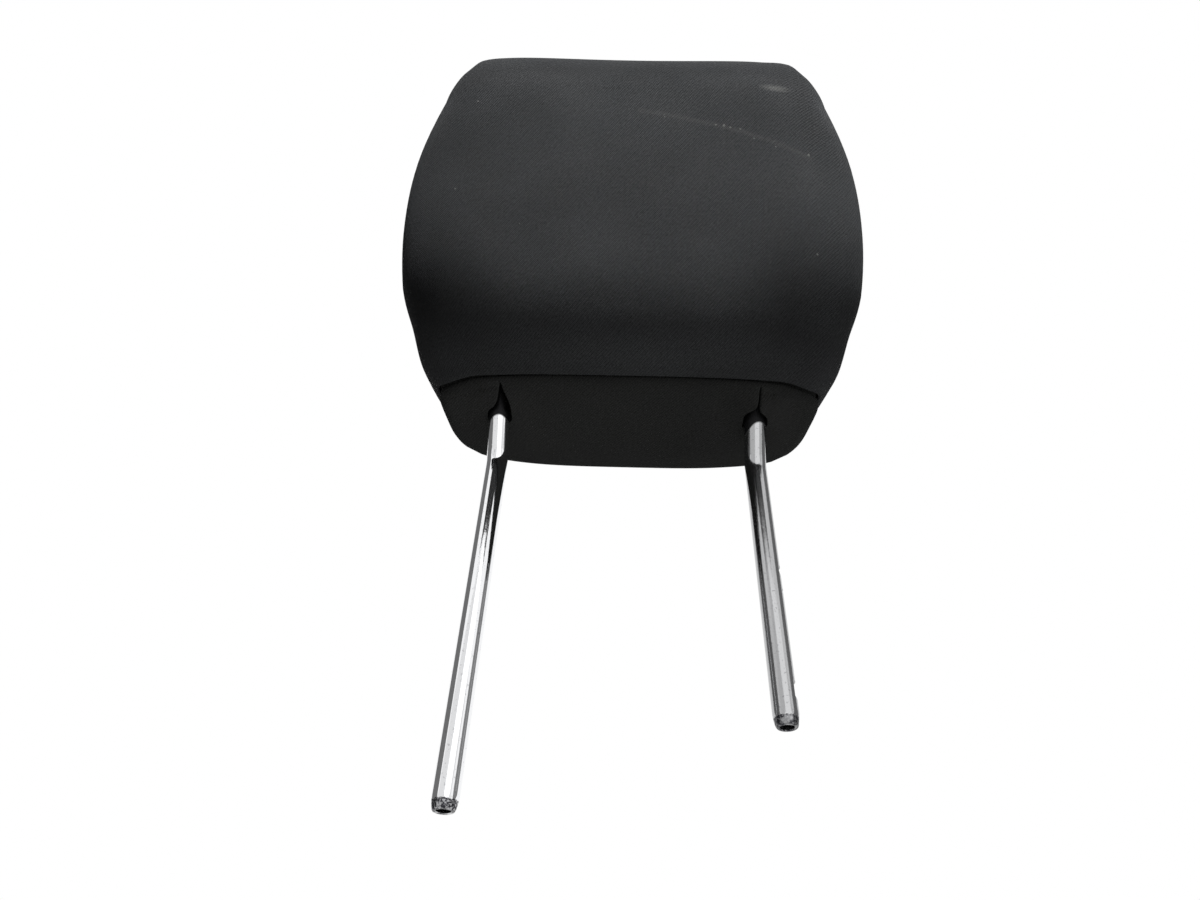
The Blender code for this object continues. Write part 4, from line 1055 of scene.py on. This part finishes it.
def chrome(name, tone, dull, word, hidden):
    """Chromed tube: bright, with fine scratches, a scuffed dark band on the swaged tip, and painted shade from
    `hidden` mm below the cushion upwards, darkening the tube in the mouth of the opening."""
    mat = bpy.data.materials.new(name)
    mat.diffuse_color = (tone, tone, tone, 1)
    n = Nodes(mat)
    obj = n.node("TexCoord").outputs["Object"]
    smear = n.noise(obj, 45.0, 4.0, 0.6, 0.4)
    speck = n.noise(obj, 900.0, 2.0, 0.5)
    stretched = n.vmath("MULTIPLY", obj, (900.0, 900.0, 18.0))
    scratch = n.noise(stretched, 1.0, 2.0, 0.5)
    col = n.mix(n.ramp(speck.outputs["Fac"], (0.30, 1.0), (0.36, 0.0)), (tone, tone * 1.005, tone * 1.02), (tone * 0.72, tone * 0.72, tone * 0.74))
    # scuffed tip
    high = n.node("SeparateXYZ", obj).outputs[2]
    ragged = n.noise(obj, 520.0, 3.0, 0.7)
    z = n.math("ADD", high, n.math("MULTIPLY", n.math("SUBTRACT", ragged.outputs["Fac"], 0.5), 0.0022))
    from_end = n.math("SUBTRACT", z, ENDS[word] * MM)
    blotch = n.ramp(n.noise(obj, 170.0, 1.0, 0.5).outputs["Fac"], (0.36, 0.25), (0.50, 1.0))
    band = n.math("MULTIPLY", n.math("LESS_THAN", from_end, 0.0042), blotch)
    facet = n.noise(obj, 1100.0, 1.0, 0.5)
    scuff = n.math("MULTIPLY", band, n.ramp(facet.outputs["Fac"], (0.40, 0.55), (0.54, 1.0)))
    col = n.mix(scuff, col, (0.035, 0.035, 0.042))
    # painted shade: the tube is darkened and dulled in the mouth of the opening, where it lies in shade
    level = tuple(Vector((0.0, -math.tan(POST_LEAN) * (PANEL_Z - BEND_Z), PANEL_Z)) * MM)
    along = n.vmath("DOT_PRODUCT", n.vmath("SUBTRACT", obj, level), tuple(POST_DIR)).outputs["Value"]
    dx = n.math("SUBTRACT", n.node("SeparateXYZ", obj).outputs[0], (POST_X + 1.7 if word == "right" else -POST_X + 0.3) * MM)
    along = n.math("ADD", along, n.math("MULTIPLY", n.math("MULTIPLY", dx, dx), 130.0))
    along = n.math("ADD", along, n.math("MULTIPLY", n.math("SUBTRACT", smear.outputs["Fac"], 0.5), 0.0008))
    upper = n.math("MULTIPLY", n.math("SUBTRACT", along, (-hidden - 2.6) * MM), 1.0 / (1.1 * MM), clamp=True)
    col = n.mix(upper, col, (0.018, 0.018, 0.019))
    n.put(n.shader.inputs["Base Color"], col)
    n.shader.inputs["Metallic"].default_value = 1.0
    rough = n.math("ADD", n.math("MULTIPLY_ADD", smear.outputs["Fac"], 0.10, 0.005 + dull),
                   n.math("MULTIPLY", n.ramp(scratch.outputs["Fac"], (0.62, 0.0), (0.72, 1.0)), 0.10))
    rough = n.math("ADD", rough, n.math("ADD", n.math("MULTIPLY", band, 0.22), n.math("MULTIPLY", upper, 0.4)))
    n.put(n.shader.inputs["Roughness"], rough)
    b1 = n.bump(smear.outputs["Fac"], 0.00022, 0.35)
    b2 = n.bump(scratch.outputs["Fac"], 0.00002, 0.4, b1.outputs[0])
    b3 = n.bump(n.math("MULTIPLY", facet.outputs["Fac"], band), 0.0003, 0.6, b2.outputs[0])
    n.put(n.shader.inputs["Normal"], b3.outputs[0])
    return mat


def steel(name):
    mat = bpy.data.materials.new(name)
    mat.diffuse_color = (0.5, 0.5, 0.52, 1)
    n = Nodes(mat)
    obj = n.node("TexCoord").outputs["Object"]
    line = n.noise(n.vmath("MULTIPLY", obj, (60.0, 1400.0, 1400.0)), 1.0, 3.0, 0.6)
    stain = n.noise(obj, 60.0, 4.0, 0.6)
    n.put(n.shader.inputs["Base Color"], n.mix(stain.outputs["Fac"], (0.42, 0.42, 0.44), (0.62, 0.62, 0.64)))
    n.shader.inputs["Metallic"].default_value = 1.0
    n.put(n.shader.inputs["Roughness"], n.math("MULTIPLY_ADD", line.outputs["Fac"], 0.35, 0.2))
    n.put(n.shader.inputs["Normal"], n.bump(line.outputs["Fac"], 0.00004, 0.5).outputs[0])
    return mat


def foam(name):
    mat = bpy.data.materials.new(name)
    mat.diffuse_color = (0.78, 0.74, 0.58, 1)
    n = Nodes(mat)
    obj = n.node("TexCoord").outputs["Object"]
    v = n.tree.nodes.new("ShaderNodeTexVoronoi")
    v.inputs["Scale"].default_value = 700.0
    n.put(v.inputs["Vector"], obj)
    skin = n.noise(obj, 30.0, 4.0, 0.6)
    col = n.mix(n.ramp(v.outputs["Distance"], (0.1, 0.0), (0.6, 1.0)), (0.50, 0.44, 0.28), (0.80, 0.75, 0.58))
    n.put(n.shader.inputs["Base Color"], n.mix(n.math("MULTIPLY", skin.outputs["Fac"], 0.4), col, (0.86, 0.78, 0.55)))
    n.shader.inputs["Roughness"].default_value = 0.95
    n.put(n.shader.inputs["Normal"], n.bump(v.outputs["Distance"], 0.0005, 0.7).outputs[0])
    return mat


def plastic(name, colour, rough):
    mat = bpy.data.materials.new(name)
    mat.diffuse_color = (*colour, 1)
    n = Nodes(mat)
    obj = n.node("TexCoord").outputs["Object"]
    grain = n.noise(obj, 1300.0, 2.0, 0.5)
    wear = n.noise(obj, 70.0, 4.0, 0.6)
    lighter = tuple(min(1.0, c * 1.35 + 0.01) for c in colour)
    n.put(n.shader.inputs["Base Color"], n.mix(wear.outputs["Fac"], colour, lighter))
    n.put(n.shader.inputs["Roughness"], n.math("MULTIPLY_ADD", wear.outputs["Fac"], 0.2, rough - 0.1))
    n.put(n.shader.inputs["Normal"], n.bump(grain.outputs["Fac"], 0.00008, 0.5).outputs[0])
    return mat


FACE = fabric("face_fabric", (0.0129, 0.0131, 0.0134), (0.0504, 0.0511, 0.0520), 0.012, lint=True)
PANEL = fabric("panel_fabric", (0.0115, 0.0115, 0.0109), (0.0420, 0.0420, 0.0401), 0.01, seam=True)
# the right post's chrome is a dimmer, duller copy of the left's: painted shade standing in for the greyer reflections
# it shows
CHROME_L = chrome("chrome_left", 0.90, 0.0, "left", -1.0)
CHROME_R = chrome("chrome_right", 0.47, 0.09, "right", -0.2)
STEEL = steel("inner_steel")
FOAM = foam("cushion_foam")
CARRIER = plastic("carrier_plastic", (0.035, 0.035, 0.038), 0.55)
BUSH = plastic("bush_plastic", (0.78, 0.78, 0.74), 0.4)
STRIP = plastic("strip_plastic", (0.09, 0.09, 0.10), 0.5)


def dress(o, mat):
    o.data.materials.clear()
    o.data.materials.append(mat)


# ------------------------------------------------------------------ build
main_cover = build_main_cover()
dress(main_cover, FACE)
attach(main_cover, "pad")
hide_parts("main_cover")

panel, SKIN = build_panel()
dress(panel, PANEL)
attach(panel, "pad")
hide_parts("bottom_cover")

for word, side in (("left", -1), ("right", 1)):
    lining = build_lining(side, word)
    dress(lining, PANEL)
    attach(lining, "pad")
    for lip, anchor in build_lips(side, word, SKIN):
        dress(lip, PANEL)
        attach(lip, "pad")
        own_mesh(lip)
    post = build_post(word, side)
    dress(post, CHROME_L if side < 0 else CHROME_R)
    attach(post, "post_frame")
    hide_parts(word + "_post")

for node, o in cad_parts.items():
    if node in ("main_cover", "bottom_cover", "left_post", "right_post"):
        mat = None
    elif "foam" in node:
        mat = FOAM
    elif "carrier" in node and "screw" not in node:
        mat = CARRIER
    elif "bush" in node:
        mat = BUSH
    elif "strip" in node:
        mat = STRIP
    else:
        mat = STEEL
    if mat is not None:
        if not o.material_slots:
            o.data.materials.append(mat)
        for slot in o.material_slots:
            slot.material = mat


# ------------------------------------------------------------------ stage
def emission(name, strength):
    mat = bpy.data.materials.new(name)
    mat.use_nodes = True
    t = mat.node_tree
    t.nodes.clear()
    e = t.nodes.new("ShaderNodeEmission")
    e.inputs["Color"].default_value = (1, 1, 1, 1)
    e.inputs["Strength"].default_value = strength
    t.links.new(e.outputs[0], t.nodes.new("ShaderNodeOutputMaterial").inputs[0])
    return mat


def card(name, corners, strength, camera=False, diffuse=False, glossy=True):
    """A flat reflector or flag, seen only by the rays named."""
    o = object_from(name, np.array(corners) * 1000.0, [(0, 1, 2, 3)], smooth_shade=False)
    o.data.materials.append(emission(name, strength))
    o.visible_camera, o.visible_diffuse, o.visible_glossy = camera, diffuse, glossy
    o.visible_shadow = False
    o.visible_transmission = o.visible_volume_scatter = False
    return o


world = bpy.data.worlds.new("studio")
bpy.context.scene.world = world
world.use_nodes = True
world.node_tree.nodes["Background"].inputs["Color"].default_value = (1, 1, 1, 1)
world.node_tree.nodes["Background"].inputs["Strength"].default_value = 1.0

floor = object_from("floor", np.array(((-12, -12, -0.45), (12, -12, -0.45), (12, 12, -0.45), (-12, 12, -0.45))) * 1000.0,
                    [(0, 1, 2, 3)], smooth_shade=False)
floor_mat = bpy.data.materials.new("pale_floor")
floor_nodes = Nodes(floor_mat)
floor_nodes.shader.inputs["Base Color"].default_value = (0.06, 0.06, 0.06, 1)
floor_nodes.shader.inputs["Emission Color"].default_value = (1.0, 1.0, 0.99, 1)
floor_nodes.shader.inputs["Emission Strength"].default_value = 0.70
floor_nodes.shader.inputs["Roughness"].default_value = 0.9
floor_nodes.put(floor_nodes.shader.inputs["Normal"],
                floor_nodes.bump(floor_nodes.noise(floor_nodes.node("TexCoord").outputs["Object"], 40.0).outputs["Fac"], 0.0002, 0.1).outputs[0])
floor.data.materials.append(floor_mat)
floor.visible_diffuse = False

# soft fill for the cloth: a dome that is brightest below and to the right, as from a pale floor
dome_mesh = bpy.data.meshes.new("fill_dome")
bm = bmesh.new()
bmesh.ops.create_icosphere(bm, subdivisions=4, radius=9.0)
bm.to_mesh(dome_mesh)
bm.free()
dome = bpy.data.objects.new("fill_dome", dome_mesh)
bpy.context.scene.collection.objects.link(dome)
dome_mat = emission("fill_dome", 1.0)
dome_tree = Nodes.__new__(Nodes)
dome_tree.tree = dome_mat.node_tree
toward = dome_tree.vmath("DOT_PRODUCT", dome_tree.vmath("NORMALIZE", dome_tree.node("TexCoord").outputs["Object"]),
                         tuple(Vector((0.60, -0.18, -0.78)).normalized())).outputs["Value"]
dome_tree.put([q for q in dome_mat.node_tree.nodes if q.type == "EMISSION"][0].inputs["Strength"],
              dome_tree.math("MULTIPLY_ADD", dome_tree.math("MAXIMUM", toward, 0.0), 0.80, 0.015))
dome.data.materials.append(dome_mat)
dome.visible_camera = dome.visible_glossy = dome.visible_shadow = dome.visible_transmission = False
# what the chrome sees: darker sides, a dark patch high in front, a bright screen to the front right
card("flag_left", ((-1.3, -0.75, -0.44), (-1.3, 0.75, -0.44), (-1.3, 0.75, 2.2), (-1.3, -0.75, 2.2)), 0.16)
card("flag_right", ((1.3, -0.55, -0.44), (1.3, 0.55, -0.44), (1.3, 0.55, 2.2), (1.3, -0.55, 2.2)), 0.22)
card("flag_high", ((-0.75, -1.5, 1.17), (0.75, -1.5, 1.17), (0.9, -0.9, 2.4), (-0.9, -0.9, 2.4)), 0.03)
card("screen_front", ((-2.4, -1.9, -0.44), (2.4, -1.9, -0.44), (2.4, -1.9, 1.32), (-2.4, -1.9, 1.32)), 0.80)
card("screen_bright", ((-0.15, -1.4, -0.44), (1.15, -1.4, -0.44), (1.15, -1.4, 1.06), (-0.15, -1.4, 1.06)), 1.35)


def area(name, where, at, size, energy, glossy=False):
    light = bpy.data.lights.new(name, "AREA")
    light.shape, light.size = "DISK", size
    light.energy = energy
    o = bpy.data.objects.new(name, light)
    o.location = where
    o.rotation_mode = "QUATERNION"
    o.rotation_quaternion = (Vector(at) - Vector(where)).to_track_quat("-Z", "Y")
    bpy.context.scene.collection.objects.link(o)
    o.visible_glossy = glossy
    o.visible_camera = False
    return o


area("key", (0.218, -1.467, 1.514), (0.0, -0.09, 0.30), 0.42, 128.0)
area("back_soft", (-0.5, 1.7, 1.5), (0.0, 0.0, 0.25), 1.4, 60.0)

scene = bpy.context.scene
scene.view_settings.view_transform = "Standard"
scene.view_settings.look = "None"
scene.view_settings.exposure = 0.0
scene.view_settings.gamma = 1.0
